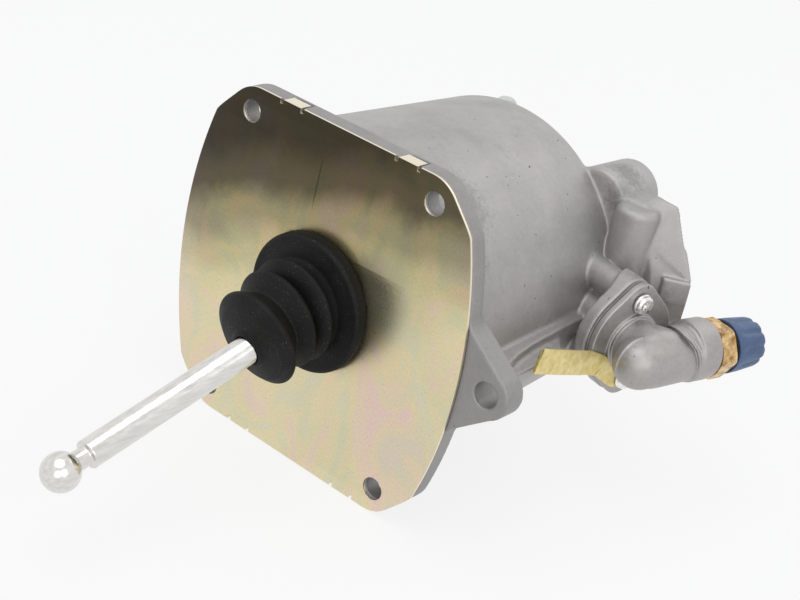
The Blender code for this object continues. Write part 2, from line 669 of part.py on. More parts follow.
def cut_cylinder(housing):
    pocket_floor = CYLINDER_FLOOR_X - GUIDE_POCKET_DEPTH
    groove_front = CYLINDER_FLOOR_X - CIRCLIP_SETBACK
    groove_rear = groove_front - CIRCLIP_THICKNESS - 2 * GROOVE_SIDE_GAP
    groove_radius = GUIDE_POCKET_RADIUS + CIRCLIP_GROOVE_DEPTH
    mouth = 0.001
    profile = [(OVERCUT, 0), (OVERCUT, CYLINDER_BORE_RADIUS + mouth),
               (FLANGE_FRONT_X, CYLINDER_BORE_RADIUS + mouth),
               (FLANGE_FRONT_X - mouth, CYLINDER_BORE_RADIUS),
               (CYLINDER_FLOOR_X, CYLINDER_BORE_RADIUS),
               (CYLINDER_FLOOR_X, GUIDE_POCKET_RADIUS), (groove_front, GUIDE_POCKET_RADIUS),
               (groove_front, groove_radius), (groove_rear, groove_radius),
               (groove_rear, GUIDE_POCKET_RADIUS), (pocket_floor, GUIDE_POCKET_RADIUS),
               (pocket_floor, PLUNGER_BORE_RADIUS),
               (PLUNGER_BORE_REAR_X, PLUNGER_BORE_RADIUS),
               (PLUNGER_BORE_REAR_X, FLUID_PORT_RADIUS),
               (HUB_REAR_X - OVERCUT, FLUID_PORT_RADIUS), (HUB_REAR_X - OVERCUT, 0)]
    cut(housing, turned("core", profile, steps=BORE_STEPS))


def cut_valve_bore(housing):
    length = VALVE_BORE_FRONT_X - VALVE_BOSS_REAR_X + OVERCUT
    groove = valve_stations()["circlip"]
    radius = VALVE_BORE_RADIUS
    groove_radius = radius + CIRCLIP_GROOVE_DEPTH
    rear = VALVE_BOSS_REAR_X - OVERCUT
    profile = [(0, 0), (0, radius), (groove[1] - GROOVE_SIDE_GAP - rear, radius),
               (groove[1] - GROOVE_SIDE_GAP - rear, groove_radius),
               (groove[0] + GROOVE_SIDE_GAP - rear, groove_radius),
               (groove[0] + GROOVE_SIDE_GAP - rear, radius), (length, radius), (length, 0)]
    cut(housing, turned("valve_core", profile, Vector((rear, 0, 0)) + VALVE_AXIS, X_AXIS, ROUND_STEPS))


def cut_port_passage(housing):
    start = PAD_CENTRE + PORT_OUT * OVERCUT
    cut(housing, rod("passage", ELBOW_BORE_RADIUS, start, PAD_DEPTH, -PORT_OUT, 24))
    for name, place in bolt_places().items():
        begin = start + place
        depth = PAD_BOLT_DEPTH + OVERCUT
        cut(housing, rod("bolt_" + name, ELBOW_BOLT_HOLE_RADIUS, begin, depth, -PORT_OUT, 16))


def cut_bleed_passage(housing):
    top = Vector((BLEED_X, BLEED_Y, BLEED_BOSS_TOP_Z + OVERCUT))
    thread_depth = BLEED_THREAD_DEPTH + OVERCUT
    cut(housing, rod("thread", BLEED_THREAD_RADIUS + THREAD_GAP, top, thread_depth, -Z_AXIS, 16))
    down = rod("down", BLEED_PASSAGE_RADIUS, top, top.z - PLUNGER_BORE_RADIUS / 2, -Z_AXIS, 10)
    cut(housing, down)
    low = Vector((BLEED_X, BLEED_Y - BLEED_PASSAGE_RADIUS / 2, PLUNGER_BORE_RADIUS * 0.65))
    cut(housing, rod("across", BLEED_PASSAGE_RADIUS, low, -BLEED_Y, Y_AXIS, 10))


def cut_mount_holes(housing):
    front = FLANGE_FRONT_X + OVERCUT
    for y, z in mount_hole_places():
        start = Vector((front, y, z))
        depth = FLANGE_THICKNESS + 2 * OVERCUT
        cut(housing, rod("hole", MOUNT_HOLE_RADIUS, start, depth, -X_AXIS, 24))
    start = Vector((front, EAR_CENTRE_Y, EAR_CENTRE_Z))
    cut(housing, rod("hole", EAR_HOLE_RADIUS, start, EAR_THICKNESS + 2 * OVERCUT, -X_AXIS, 24))


def cut_tab_recesses(housing):
    top = FLANGE_HALF_HEIGHT - PLATE_THICKNESS
    for y in TAB_CENTRES_Y:
        for side in (1, -1):
            half = TAB_WIDTH / 2 + FACE_GAP
            low = top - FACE_GAP
            high = FLANGE_HALF_HEIGHT + OVERCUT
            outline = [(y - half, side * low), (y + half, side * low),
                       (y + half, side * high), (y - half, side * high)]
            depth = TAB_LENGTH + OVERCUT
            base = Vector((FLANGE_FRONT_X - TAB_LENGTH - FACE_GAP, 0, 0))
            cut(housing, prism("recess", outline, base, Y_AXIS, Z_AXIS, depth + FACE_GAP))


def build_housing(surfaces):
    housing = bell_solid()
    add_flange(housing)
    add_rib(housing)
    add_port_pad(housing)
    add_valve_block(housing)
    add_valve_boss(housing)
    add_bleed_boss(housing)
    cut_cylinder(housing)
    cut_valve_bore(housing)
    cut_port_passage(housing)
    cut_bleed_passage(housing)
    cut_mount_holes(housing)
    cut_tab_recesses(housing)
    weld_up(housing)
    return paint(housing, surfaces["casting"])


def paint(thing, surface, parent=None):
    thing.data.materials.clear()
    thing.data.materials.append(surface)
    if parent is not None:
        thing.parent = parent
        thing.matrix_parent_inverse = parent.matrix_world.inverted()
    return thing


# Cover plate with its bent tabs

def build_cover_plate(surfaces):
    plate = prism("cover_plate", flange_outline(), Vector((-PLATE_THICKNESS, 0, 0)),
                  Y_AXIS, Z_AXIS, PLATE_THICKNESS)
    for y in TAB_CENTRES_Y:
        for side in (1, -1):
            add_tab(plate, y, side)
    front = Vector((OVERCUT, 0, 0))
    depth = PLATE_THICKNESS + 2 * OVERCUT
    cut(plate, rod("opening", BOOT_PLATE_HOLE_RADIUS, front, depth, -X_AXIS, 48))
    for y, z in mount_hole_places():
        start = Vector((OVERCUT, y, z))
        cut(plate, rod("hole", MOUNT_HOLE_RADIUS, start, depth, -X_AXIS, 24))
    weld_up(plate)
    return paint(plate, surfaces["plate"])


def add_tab(plate, y, side):
    """A bent tab over the flange's edge, between two relief notches."""
    edge = FLANGE_HALF_HEIGHT
    for way in (-1, 1):
        middle = y + way * (TAB_WIDTH + TAB_RELIEF_WIDTH) / 2
        low = edge - TAB_RELIEF_DEPTH
        high = edge + OVERCUT
        left = middle - TAB_RELIEF_WIDTH / 2
        right = middle + TAB_RELIEF_WIDTH / 2
        notch = [(left, side * low), (right, side * low), (right, side * high),
                 (left, side * high)]
        base = Vector((-PLATE_THICKNESS - OVERCUT, 0, 0))
        cut(plate, prism("notch", notch, base, Y_AXIS, Z_AXIS, PLATE_THICKNESS + 2 * OVERCUT))
    inner = edge - PLATE_THICKNESS
    tab = [(y - TAB_WIDTH / 2, side * inner), (y + TAB_WIDTH / 2, side * inner),
           (y + TAB_WIDTH / 2, side * edge), (y - TAB_WIDTH / 2, side * edge)]
    base = Vector((-TAB_LENGTH, 0, 0))
    depth = TAB_LENGTH - PLATE_THICKNESS / 2
    join(plate, prism("tab", tab, base, Y_AXIS, Z_AXIS, depth))


# Dust boot

def boot_station(station):
    """Centre and tilt of the boot's section at a station along its bent middle line."""
    share = station / BOOT_NOSE_X
    tilt = BOOT_NOSE_TILT * min(1.0, share * 1.15)
    nose_drop = (BOOT_NOSE_X - PIVOT_X) * math.tan(ROD_TILT)
    return Vector((station, 0, -nose_drop * share ** 2.5)), tilt


def boot_profile():
    wall = BOOT_WALL
    hole = ROD_RADIUS + FACE_GAP + 0.0001
    low = FACE_GAP
    front = BOOT_NOSE_X
    outer = [(low, BOOT_BASE_RADIUS - 0.0003), (low + BOOT_BASE_THICKNESS / 2, BOOT_BASE_RADIUS),
             (low + BOOT_BASE_THICKNESS - 0.0006, BOOT_BASE_RADIUS - 0.0002),
             (low + BOOT_BASE_THICKNESS, BOOT_BASE_RADIUS - 0.0010)]
    for index, fold in enumerate(BOOT_FOLD_STATIONS):
        outer.append((BOOT_VALLEY_STATIONS[index], BOOT_VALLEY_RADIUS))
        outer.append((fold - 0.0006, BOOT_FOLD_RADII[index]))
        outer.append((fold + 0.0006, BOOT_FOLD_RADII[index]))
    rim = BOOT_CUP_RIM_STATION
    outer += [(BOOT_VALLEY_STATIONS[2], BOOT_VALLEY_RADIUS - 0.0006),
              (rim - 0.0006, BOOT_CUP_RIM_RADIUS), (rim + 0.0008, BOOT_CUP_RIM_RADIUS),
              (rim + 0.0024, (BOOT_CUP_RIM_RADIUS + BOOT_CUP_FRONT_RADIUS) / 2),
              (front - 0.0010, BOOT_CUP_FRONT_RADIUS - 0.0020), (front, hole + 0.0012),
              (front, hole)]
    inner = [(front - BOOT_LIP_LENGTH, hole + 0.0010),
             (front - BOOT_LIP_LENGTH - 0.0010, BOOT_CUP_FRONT_RADIUS - 0.0030),
             (rim + 0.0004, BOOT_CUP_RIM_RADIUS - 2 * wall),
             (BOOT_VALLEY_STATIONS[2], BOOT_VALLEY_RADIUS - 0.0006 - wall)]
    for index in (1, 0):
        fold = BOOT_FOLD_STATIONS[index]
        inner.append((fold, BOOT_FOLD_RADII[index] - wall * 1.4))
        inner.append((BOOT_VALLEY_STATIONS[index], BOOT_VALLEY_RADIUS - wall))
    inner += [(low + BOOT_BASE_THICKNESS - wall, BOOT_INNER_RADIUS - wall),
              (low, BOOT_INNER_RADIUS)]
    behind = -PLATE_THICKNESS - FACE_GAP
    neck = BOOT_PLATE_HOLE_RADIUS - FACE_GAP
    lip = [(behind - BOOT_LIP_THICKNESS, BOOT_INNER_RADIUS),
           (behind - BOOT_LIP_THICKNESS, BOOT_LIP_RADIUS - 0.0006),
           (behind, BOOT_LIP_RADIUS), (behind, neck), (low, neck)]
    return outer + inner + lip


def build_dust_boot(surfaces):
    steps = 24
    sheet = bmesh.new()
    loops = []
    for station, radius in boot_profile():
        centre, tilt = boot_station(max(station, 0.0))
        centre = Vector((min(station, 0.0), 0, 0)) + centre
        upward = Vector((math.sin(tilt), 0, math.cos(tilt)))
        loop = []
        for step in range(steps):
            angle = 2 * math.pi * step / steps
            offset = Y_AXIS * (radius * math.cos(angle)) + upward * (radius * math.sin(angle))
            loop.append(sheet.verts.new(centre + offset))
        loops.append(loop)
    skin_loops(sheet, loops, closed=True)
    return paint(finish_mesh("dust_boot", sheet, 50), surfaces["rubber"])


# Pneumatic piston and what moves with it

def piston_profile():
    front = PISTON_FRONT_X
    rear = front - PISTON_RIM_LENGTH
    radius = CYLINDER_BORE_RADIUS - 2 * RUNNING_GAP
    inner = radius - PISTON_RIM_WALL
    web_front = front - PISTON_WEB_SETBACK
    web_rear = web_front - PISTON_WEB_THICKNESS
    seal_front = front - SEAL_GROOVE_SETBACK
    seal_rear = seal_front - SEAL_WIDTH - 2 * GROOVE_SIDE_GAP
    seal_floor = radius - SEAL_DEPTH
    ring_front = front - GUIDE_RING_SETBACK
    ring_rear = ring_front - GUIDE_RING_WIDTH - 2 * GROOVE_SIDE_GAP
    ring_floor = radius - GUIDE_RING_DEPTH
    hub = PISTON_HUB_RADIUS
    groove_front = PISTON_HUB_FRONT_X - RETAINER_SETBACK
    groove_rear = groove_front - RETAINER_THICKNESS - 2 * GROOVE_SIDE_GAP
    groove_floor = RETAINER_OUTER_RADIUS + RUNNING_GAP
    bowl = arc((PIVOT_X, 0), SOCKET_RADIUS, math.pi, math.pi / 2, 6)
    thread_floor = PISTON_HUB_REAR_X + PLUNGER_THREAD_LENGTH + THREAD_GAP
    thread = PLUNGER_THREAD_RADIUS + THREAD_GAP
    socket = [(bowl[0][0], 0)] + bowl[1:]
    socket += [(groove_rear, SOCKET_RADIUS), (groove_rear, groove_floor),
               (groove_front, groove_floor), (groove_front, SOCKET_RADIUS),
               (PISTON_HUB_FRONT_X, SOCKET_RADIUS), (PISTON_HUB_FRONT_X, hub - 0.001),
               (PISTON_HUB_FRONT_X - 0.001, hub)]
    body = [(web_front, hub + 0.002), (web_front, inner - 0.001), (front, inner),
            (front, radius - 0.0006), (front - 0.0008, radius),
            (seal_front, radius), (seal_front, seal_floor), (seal_rear, seal_floor),
            (seal_rear, radius), (ring_front, radius), (ring_front, ring_floor),
            (ring_rear, ring_floor), (ring_rear, radius), (rear, radius), (rear, inner),
            (web_rear, inner - 0.001), (web_rear, hub + 0.002), (web_rear - 0.002, hub)]
    tail = [(PISTON_HUB_REAR_X, hub - 0.001), (PISTON_HUB_REAR_X, thread),
            (thread_floor, thread), (thread_floor, 0)]
    return socket + body + tail


def ring(name, front, rear, inner, outer, steps=BORE_STEPS, centre=Vector((0, 0, 0))):
    profile = [(front, inner), (front, outer), (rear, outer), (rear, inner)]
    return turned(name, profile, centre, X_AXIS, steps)


def build_piston_group(surfaces, carrier):
    piston = turned("piston", piston_profile(), steps=BORE_STEPS)
    paint(piston, surfaces["piston"], carrier)
    radius = CYLINDER_BORE_RADIUS - 2 * RUNNING_GAP
    outer = CYLINDER_BORE_RADIUS - RUNNING_GAP
    front = PISTON_FRONT_X - SEAL_GROOVE_SETBACK - GROOVE_SIDE_GAP
    rear = front - SEAL_WIDTH
    floor = radius - SEAL_DEPTH + GROOVE_SIDE_GAP
    lip = [(front, floor), (front, outer - 0.0015), (front - 0.0015, outer - 0.0012),
           (rear + 0.0004, outer), (rear, outer - 0.0012), (rear + 0.0020, (floor + outer) / 2),
           (rear, floor + 0.0010), (rear + 0.0004, floor)]
    paint(turned("piston_seal", lip, steps=BORE_STEPS), surfaces["rubber"], carrier)
    front = PISTON_FRONT_X - GUIDE_RING_SETBACK - GROOVE_SIDE_GAP
    guide = ring("guide_ring", front, front - GUIDE_RING_WIDTH,
                 radius - GUIDE_RING_DEPTH + GROOVE_SIDE_GAP, outer)
    paint(guide, surfaces["polymer"], carrier)
    front = PISTON_HUB_FRONT_X - RETAINER_SETBACK - GROOVE_SIDE_GAP
    retainer = ring("seat_retainer", front, front - RETAINER_THICKNESS, RETAINER_INNER_RADIUS,
                    RETAINER_OUTER_RADIUS, ROUND_STEPS)
    paint(retainer, surfaces["spring"], carrier)


def build_plunger(surfaces, carrier):
    front = PISTON_HUB_REAR_X + PLUNGER_THREAD_LENGTH
    shoulder = PISTON_HUB_REAR_X - FACE_GAP
    rear = PLUNGER_REAR_X
    groove_rear = rear + PLUNGER_SEAL_SETBACK
    groove_front = groove_rear + PLUNGER_SEAL_WIDTH + 2 * GROOVE_SIDE_GAP
    floor = PLUNGER_RADIUS - PLUNGER_SEAL_DEPTH
    profile = [(front, 0), (front, PLUNGER_THREAD_RADIUS), (shoulder, PLUNGER_THREAD_RADIUS),
               (shoulder, PLUNGER_RADIUS), (groove_front, PLUNGER_RADIUS), (groove_front, floor),
               (groove_rear, floor), (groove_rear, PLUNGER_RADIUS),
               (rear + 0.001, PLUNGER_RADIUS), (rear, PLUNGER_RADIUS - 0.001), (rear, 0)]
    paint(turned("plunger", profile, steps=ROUND_STEPS), surfaces["steel"], carrier)
    outer = PLUNGER_BORE_RADIUS - RUNNING_GAP
    seal = ring("plunger_seal", groove_front - GROOVE_SIDE_GAP, groove_rear + GROOVE_SIDE_GAP,
                floor + GROOVE_SIDE_GAP, outer, ROUND_STEPS)
    paint(seal, surfaces["rubber"], carrier)


def build_plunger_guide(surfaces):
    clip_front = CYLINDER_FLOOR_X - CIRCLIP_SETBACK - GROOVE_SIDE_GAP
    clip_rear = clip_front - CIRCLIP_THICKNESS
    clip_outer = GUIDE_POCKET_RADIUS + CIRCLIP_GROOVE_DEPTH - RUNNING_GAP
    clip = open_ring("guide_circlip", clip_front, clip_rear, clip_outer - CIRCLIP_WIDTH,
                     clip_outer, Vector((0, 0, 0)))
    paint(clip, surfaces["spring"])
    front = clip_rear - GROOVE_SIDE_GAP - FACE_GAP
    rear = CYLINDER_FLOOR_X - GUIDE_POCKET_DEPTH + FACE_GAP
    bush = ring("plunger_guide", front, max(rear, front - GUIDE_BUSH_LENGTH),
                PLUNGER_RADIUS + RUNNING_GAP, GUIDE_POCKET_RADIUS - RUNNING_GAP, ROUND_STEPS)
    paint(bush, surfaces["polymer"])


def open_ring(name, front, rear, inner, outer, centre, gap_angle=0.5, count=22):
    """A circlip: a flat ring with a gap at the top."""
    sheet = bmesh.new()
    loops = []
    for step in range(count + 1):
        angle = math.pi / 2 + gap_angle / 2 + (2 * math.pi - gap_angle) * step / count
        outward = Vector((0, math.cos(angle), math.sin(angle)))
        corners = ((front, inner), (front, outer), (rear, outer), (rear, inner))
        loop = [sheet.verts.new(centre + X_AXIS * x + outward * r) for x, r in corners]
        loops.append(loop)
    skin_loops(sheet, loops, closed=False)
    sheet.faces.new(loops[0])
    sheet.faces.new(list(reversed(loops[-1])))
    return finish_mesh(name, sheet)


def coil(name, radius, wire, start, end, turns, centre, sides=6, per_turn=14):
    """A compression spring along +X, from start down to end, with its last turns closed up."""
    sheet = bmesh.new()
    loops = []
    count = int(turns * per_turn)
    span = (start - wire) - (end + wire)
    for step in range(count + 1):
        share = step / count
        angle = 2 * math.pi * turns * share
        closed = 0.5 - 0.5 * math.cos(math.pi * share)
        station = (start - wire) - span * (0.6 * share + 0.4 * closed)
        outward = Vector((0, math.cos(angle), math.sin(angle)))
        middle = centre + X_AXIS * station + outward * radius
        loop = []
        for side in range(sides):
            turn = 2 * math.pi * side / sides
            offset = outward * (wire * math.cos(turn)) + X_AXIS * (wire * math.sin(turn))
            loop.append(sheet.verts.new(middle + offset))
        loops.append(loop)
    skin_loops(sheet, loops, closed=False)
    sheet.faces.new(loops[0])
    sheet.faces.new(list(reversed(loops[-1])))
    return finish_mesh(name, sheet, 60)


def build_preload_spring(surfaces):
    web_rear = PISTON_FRONT_X - PISTON_WEB_SETBACK - PISTON_WEB_THICKNESS
    start = web_rear - FACE_GAP
    end = CYLINDER_FLOOR_X + FACE_GAP
    spring = coil("preload_spring", PRELOAD_RADIUS, PRELOAD_WIRE_RADIUS, start, end,
                  PRELOAD_TURNS, Vector((0, 0, 0)))
    paint(spring, surfaces["spring"])


# Pushrod and the liner that it swings in

def build_seat_liner(surfaces, carrier):
    pivot = Vector((PIVOT_X, 0, 0))
    outer_end = math.acos(LINER_LIP_X / LINER_OUTER_RADIUS)
    inner_end = math.acos(LINER_LIP_X / LINER_INNER_RADIUS)
    outer = arc((0, 0), LINER_OUTER_RADIUS, math.pi, outer_end, 9)
    inner = arc((0, 0), LINER_INNER_RADIUS, inner_end, math.pi, 8)
    profile = [(outer[0][0], 0)] + outer[1:] + inner[:-1] + [(inner[-1][0], 0)]
    liner = turned("seat_liner", profile, pivot, X_AXIS, 20)
    paint(liner, surfaces["polymer"], carrier)


def build_pushrod(surfaces, carrier):
    pivot = Vector((PIVOT_X, 0, 0))
    along = Vector((math.cos(ROD_TILT), 0, -math.sin(ROD_TILT)))
    inner_cut = math.asin(ROD_RADIUS / ROD_INNER_BALL_RADIUS)
    outer_cut = math.asin(ROD_NECK_RADIUS / ROD_BALL_RADIUS)
    inner = arc((0, 0), ROD_INNER_BALL_RADIUS, math.pi, inner_cut, 9)
    outer = arc((ROD_LENGTH, 0), ROD_BALL_RADIUS, math.pi - outer_cut, 0, 11)
    shoulder = ROD_LENGTH - ROD_BALL_RADIUS * math.cos(outer_cut) - ROD_NECK_LENGTH
    profile = [(inner[0][0], 0)] + inner[1:]
    profile += [(shoulder - 0.0006, ROD_RADIUS), (shoulder, ROD_RADIUS - 0.0006),
                (shoulder, ROD_NECK_RADIUS)]
    profile += outer[:-1] + [(outer[-1][0], 0)]
    pushrod = turned("pushrod", profile, pivot, along, 24)
    paint(pushrod, surfaces["zinc"], carrier)


# Side port: elbow, gasket, screws, union and cap

def elbow_tube():
    start = -ELBOW_FRONT_LENGTH
    dome = arc((start, 0), ELBOW_FRONT_RADIUS, math.pi, math.pi / 2, 5)
    profile = [(dome[0][0] + 0.0006, 0)] + dome[1:]
    profile += [(ELBOW_TUBE_LENGTH, ELBOW_TUBE_RADIUS),
                (ELBOW_TUBE_LENGTH, ELBOW_COLLAR_RADIUS),
                (ELBOW_TUBE_LENGTH + ELBOW_COLLAR_LENGTH, ELBOW_COLLAR_RADIUS),
                (elbow_end(), ELBOW_MOUTH_RADIUS), (elbow_end(), 0)]
    return turned("tube", profile, ELBOW_CORNER, PORT_BACK, 28)


def elbow_end():
    return ELBOW_TUBE_LENGTH + ELBOW_COLLAR_LENGTH + ELBOW_MOUTH_LENGTH


def build_elbow(surfaces):
    elbow = port_prism("elbow", lobed_outline(), ELBOW_BACK, ELBOW_FLANGE_THICKNESS)
    foot = ELBOW_BOLT_PITCH / 2 - ELBOW_AXIS_DROP - SCREW_COLLAR_RADIUS - FACE_GAP
    neck = [(0, 0), (0, foot), (0.0022, ELBOW_NECK_RADIUS), (ELBOW_AXIS_OFFSET, ELBOW_NECK_RADIUS - 0.0002),
            (ELBOW_AXIS_OFFSET, 0)]
    start = ELBOW_CORNER - PORT_OUT * (ELBOW_AXIS_OFFSET + FACE_GAP)
    join(elbow, turned("neck", neck, start, PORT_OUT, 28))
    join(elbow, elbow_tube())
    thread_start = elbow_end() + OVERCUT
    thread_depth = ELBOW_THREAD_DEPTH + OVERCUT
    thread = rod("thread", UNION_THREAD_RADIUS + THREAD_GAP,
                 ELBOW_CORNER + PORT_BACK * thread_start, thread_depth, -PORT_BACK, 28)
    cut(elbow, thread)
    outlet = rod("outlet", ELBOW_BORE_RADIUS, ELBOW_CORNER + PORT_BACK * elbow_end(),
                 elbow_end() + ELBOW_BORE_RADIUS * 0.9, -PORT_BACK, 24)
    cut(elbow, outlet)
    inlet_length = ELBOW_FLANGE_THICKNESS + ELBOW_AXIS_OFFSET + OVERCUT
    inlet_start = ELBOW_BACK - PORT_OUT * OVERCUT - Z_AXIS * ELBOW_AXIS_DROP
    inlet = rod("inlet", ELBOW_BORE_RADIUS, inlet_start, inlet_length, PORT_OUT, 24)
    cut(elbow, inlet)
    for name, place in bolt_places().items():
        begin = ELBOW_BACK + place - PORT_OUT * OVERCUT
        depth = ELBOW_FLANGE_THICKNESS + 2 * OVERCUT
        cut(elbow, rod("bolt_" + name, ELBOW_BOLT_HOLE_RADIUS, begin, depth, PORT_OUT, 16))
    weld_up(elbow)
    paint(elbow, surfaces["elbow"])


def build_gasket(surfaces):
    base = PAD_CENTRE + PORT_OUT * FACE_GAP
    gasket = port_prism("elbow_gasket", lobed_outline(-0.0003), base, GASKET_THICKNESS)
    below = base - PORT_OUT * OVERCUT
    depth = GASKET_THICKNESS + 2 * OVERCUT
    cut(gasket, rod("opening", ELBOW_BORE_RADIUS + 0.001, below, depth, PORT_OUT, 24))
    for name, place in bolt_places().items():
        hole = rod("bolt_" + name, ELBOW_BOLT_HOLE_RADIUS, below + place, depth, PORT_OUT, 16)
        cut(gasket, hole)
    paint(gasket, surfaces["gasket"])


def build_elbow_screws(surfaces):
    for name, place in bolt_places().items():
        lift = FACE_GAP + (TAG_THICKNESS + FACE_GAP if name == "lower" else 0.0)
        seat = PORT_CENTRE + place + PORT_OUT * lift
        top = SCREW_COLLAR_HEIGHT + SCREW_HEAD_HEIGHT
        profile = [(-SCREW_LENGTH, 0), (-SCREW_LENGTH, SCREW_SHANK_RADIUS - 0.0005),
                   (-SCREW_LENGTH + 0.001, SCREW_SHANK_RADIUS), (0, SCREW_SHANK_RADIUS),
                   (0, SCREW_COLLAR_RADIUS), (SCREW_COLLAR_HEIGHT, SCREW_COLLAR_RADIUS),
                   (SCREW_COLLAR_HEIGHT, SCREW_HEAD_RADIUS),
                   (top - 0.0005, SCREW_HEAD_RADIUS), (top, SCREW_HEAD_RADIUS - 0.0006), (top, 0)]
        screw = turned("elbow_screw_" + name, profile, seat, PORT_OUT, 24)
        start = seat + PORT_OUT * (top + OVERCUT)
        socket = rod("socket", SCREW_SOCKET_RADIUS, start, SCREW_SOCKET_DEPTH + OVERCUT,
                     -PORT_OUT, 6)
        cut(screw, socket)
        paint(screw, surfaces["zinc"])


def cap_flutes(angle, radius):
    """Sinks grip flutes into the cap's outer wall, and leaves its end and its bore round."""
    if radius < CAP_END_RADIUS:
        return radius
    wave = 0.5 - 0.5 * math.cos(CAP_FLUTES * angle)
    return radius - CAP_FLUTE_DEPTH * wave ** 3


def build_union(surfaces):
    face = elbow_end() + FACE_GAP
    hex_end = face + UNION_HEX_LENGTH
    start = elbow_end() - ELBOW_THREAD_DEPTH + FACE_GAP
    end = hex_end + UNION_SEAL_LENGTH + UNION_NOSE_LENGTH
    union = rod("port_union", UNION_THREAD_RADIUS, ELBOW_CORNER + PORT_BACK * start,
                end - start, PORT_BACK, 28)
    across = UNION_HEX_RADIUS
    nut = [(face, 0), (face, across - 0.0008), (face + 0.0010, across),
           (hex_end - 0.0010, across), (hex_end, across - 0.0008), (hex_end, 0)]
    hexagon = turned("hexagon", nut, ELBOW_CORNER, PORT_BACK, 6)
    join(union, hexagon)
    begin = ELBOW_CORNER + PORT_BACK * (start - OVERCUT)
    bore = rod("bore", UNION_BORE_RADIUS, begin, end - start + 2 * OVERCUT, PORT_BACK, 28)
    cut(union, bore)
    weld_up(union)
    paint(union, surfaces["brass"])
    seal_start = hex_end + FACE_GAP
    seal_inner = UNION_THREAD_RADIUS + RUNNING_GAP
    seal = [(seal_start, seal_inner), (seal_start, UNION_SEAL_RADIUS),
            (seal_start + UNION_SEAL_LENGTH, UNION_SEAL_RADIUS),
            (seal_start + UNION_SEAL_LENGTH, seal_inner)]
    paint(turned("union_seal", seal, ELBOW_CORNER, PORT_BACK, 28), surfaces["rubber"])
    cap_start = seal_start + UNION_SEAL_LENGTH + FACE_GAP
    cap_end = cap_start + CAP_LENGTH
    cap_inner = UNION_THREAD_RADIUS + RUNNING_GAP
    floor = cap_end - CAP_WALL_END
    cap = [(floor, 0), (floor, cap_inner), (cap_start, cap_inner), (cap_start, CAP_RADIUS),
           (cap_end - 0.0022, CAP_END_RADIUS), (cap_end - 0.0006, CAP_END_RADIUS - 0.0008),
           (cap_end, CAP_END_RADIUS - 0.0022), (cap_end, 0)]
    steps = CAP_FLUTES * 4
    cover = turned("port_cap", cap, ELBOW_CORNER, PORT_BACK, steps, cap_flutes)
    paint(cover, surfaces["cap"])


# Blank tag

def tag_stations():
    """Middle points of the tag from its free end to the eye, with half widths."""
    lift = PORT_OUT * (FACE_GAP + TAG_THICKNESS / 2)
    flat_start = PORT_CENTRE - PORT_BACK * TAG_LEAD + lift
    free = Vector((TAG_FRONT_X, BELL_FRONT_RADIUS + TAG_STAND_OFF, TAG_FRONT_Z))
    stations = []
    count = 9
    for step in range(count + 1):
        share = step / count
        place = free.lerp(flat_start, share)
        place.y += math.sin(math.pi * share) * TAG_BOW_Y
        place.z = free.z - math.tan(TAG_SLOPE) * (free.x - place.x) - TAG_DROOP * share ** 4
        stations.append((place, TAG_WIDTH / 2))
    round_radius = ELBOW_BOLT_PITCH / 2
    for degrees, share, narrowing in ((211, 1.02, 0.90), (222, 0.98, 0.72), (237, 0.97, 0.72),
                                      (248, 0.98, 0.77), (259, 1.0, 0.81), (270, 1.0, 0.81),
                                      (280, 1.0, 0.81), (288, 1.0, 0.55)):
        angle = math.radians(degrees)
        radius = round_radius * share
        place = PORT_CENTRE + lift + PORT_BACK * (radius * math.cos(angle))
        place.z += radius * math.sin(angle)
        stations.append((place, TAG_WIDTH / 2 * narrowing))
    eye = PORT_CENTRE + bolt_places()["lower"] + lift
    return stations, eye


def build_tag(surfaces):
    stations, eye = tag_stations()
    sheet = bmesh.new()
    loops = []
    for index, (place, half) in enumerate(stations):
        before = stations[max(index - 1, 0)][0]
        after = stations[min(index + 1, len(stations) - 1)][0]
        along = (after - before).normalized()
        flat_along = Vector((along.x, along.y, 0)).normalized()
        outward = Vector((-flat_along.y, flat_along.x, 0))
        if outward.y < 0:
            outward = -outward
        across = along.cross(outward).normalized()
        if across.z < 0:
            across = -across
        thick = outward * (TAG_THICKNESS / 2)
        corners = (across * half + thick, across * half - thick,
                   across * -half - thick, across * -half + thick)
        loops.append([sheet.verts.new(place + corner) for corner in corners])
    skin_loops(sheet, loops, closed=False)
    sheet.faces.new(loops[0])
    sheet.faces.new(list(reversed(loops[-1])))
    tag = finish_mesh("id_tag", sheet)
    start = eye - PORT_OUT * OVERCUT
    hole = rod("hole", SCREW_SHANK_RADIUS + FACE_GAP, start, 2 * OVERCUT, PORT_OUT, 16)
    cut(tag, hole)
    weld_up(tag)
    paint(tag, surfaces["tag"])


# Control valve in the block

def valve_stations():
    """Front and rear station of each piece along the valve bore, front first."""
    front = VALVE_BORE_FRONT_X - VALVE_PISTON_SETBACK
    piston_rear = front - VALVE_PISTON_LENGTH
    seat_front = piston_rear - VALVE_SPRING_SPACE
    seat_rear = seat_front - VALVE_SEAT_LENGTH
    inlet_front = seat_rear - FACE_GAP
    inlet_rear = inlet_front - INLET_VALVE_LENGTH
    cover_front = inlet_rear - INLET_SPRING_SPACE
    cover_rear = cover_front - VALVE_COVER_LENGTH
    clip_front = cover_rear - FACE_GAP
    return {
        "piston": (front, piston_rear), "seat": (seat_front, seat_rear),
        "inlet": (inlet_front, inlet_rear), "cover": (cover_front, cover_rear),
        "circlip": (clip_front, clip_front - CIRCLIP_THICKNESS),
    }


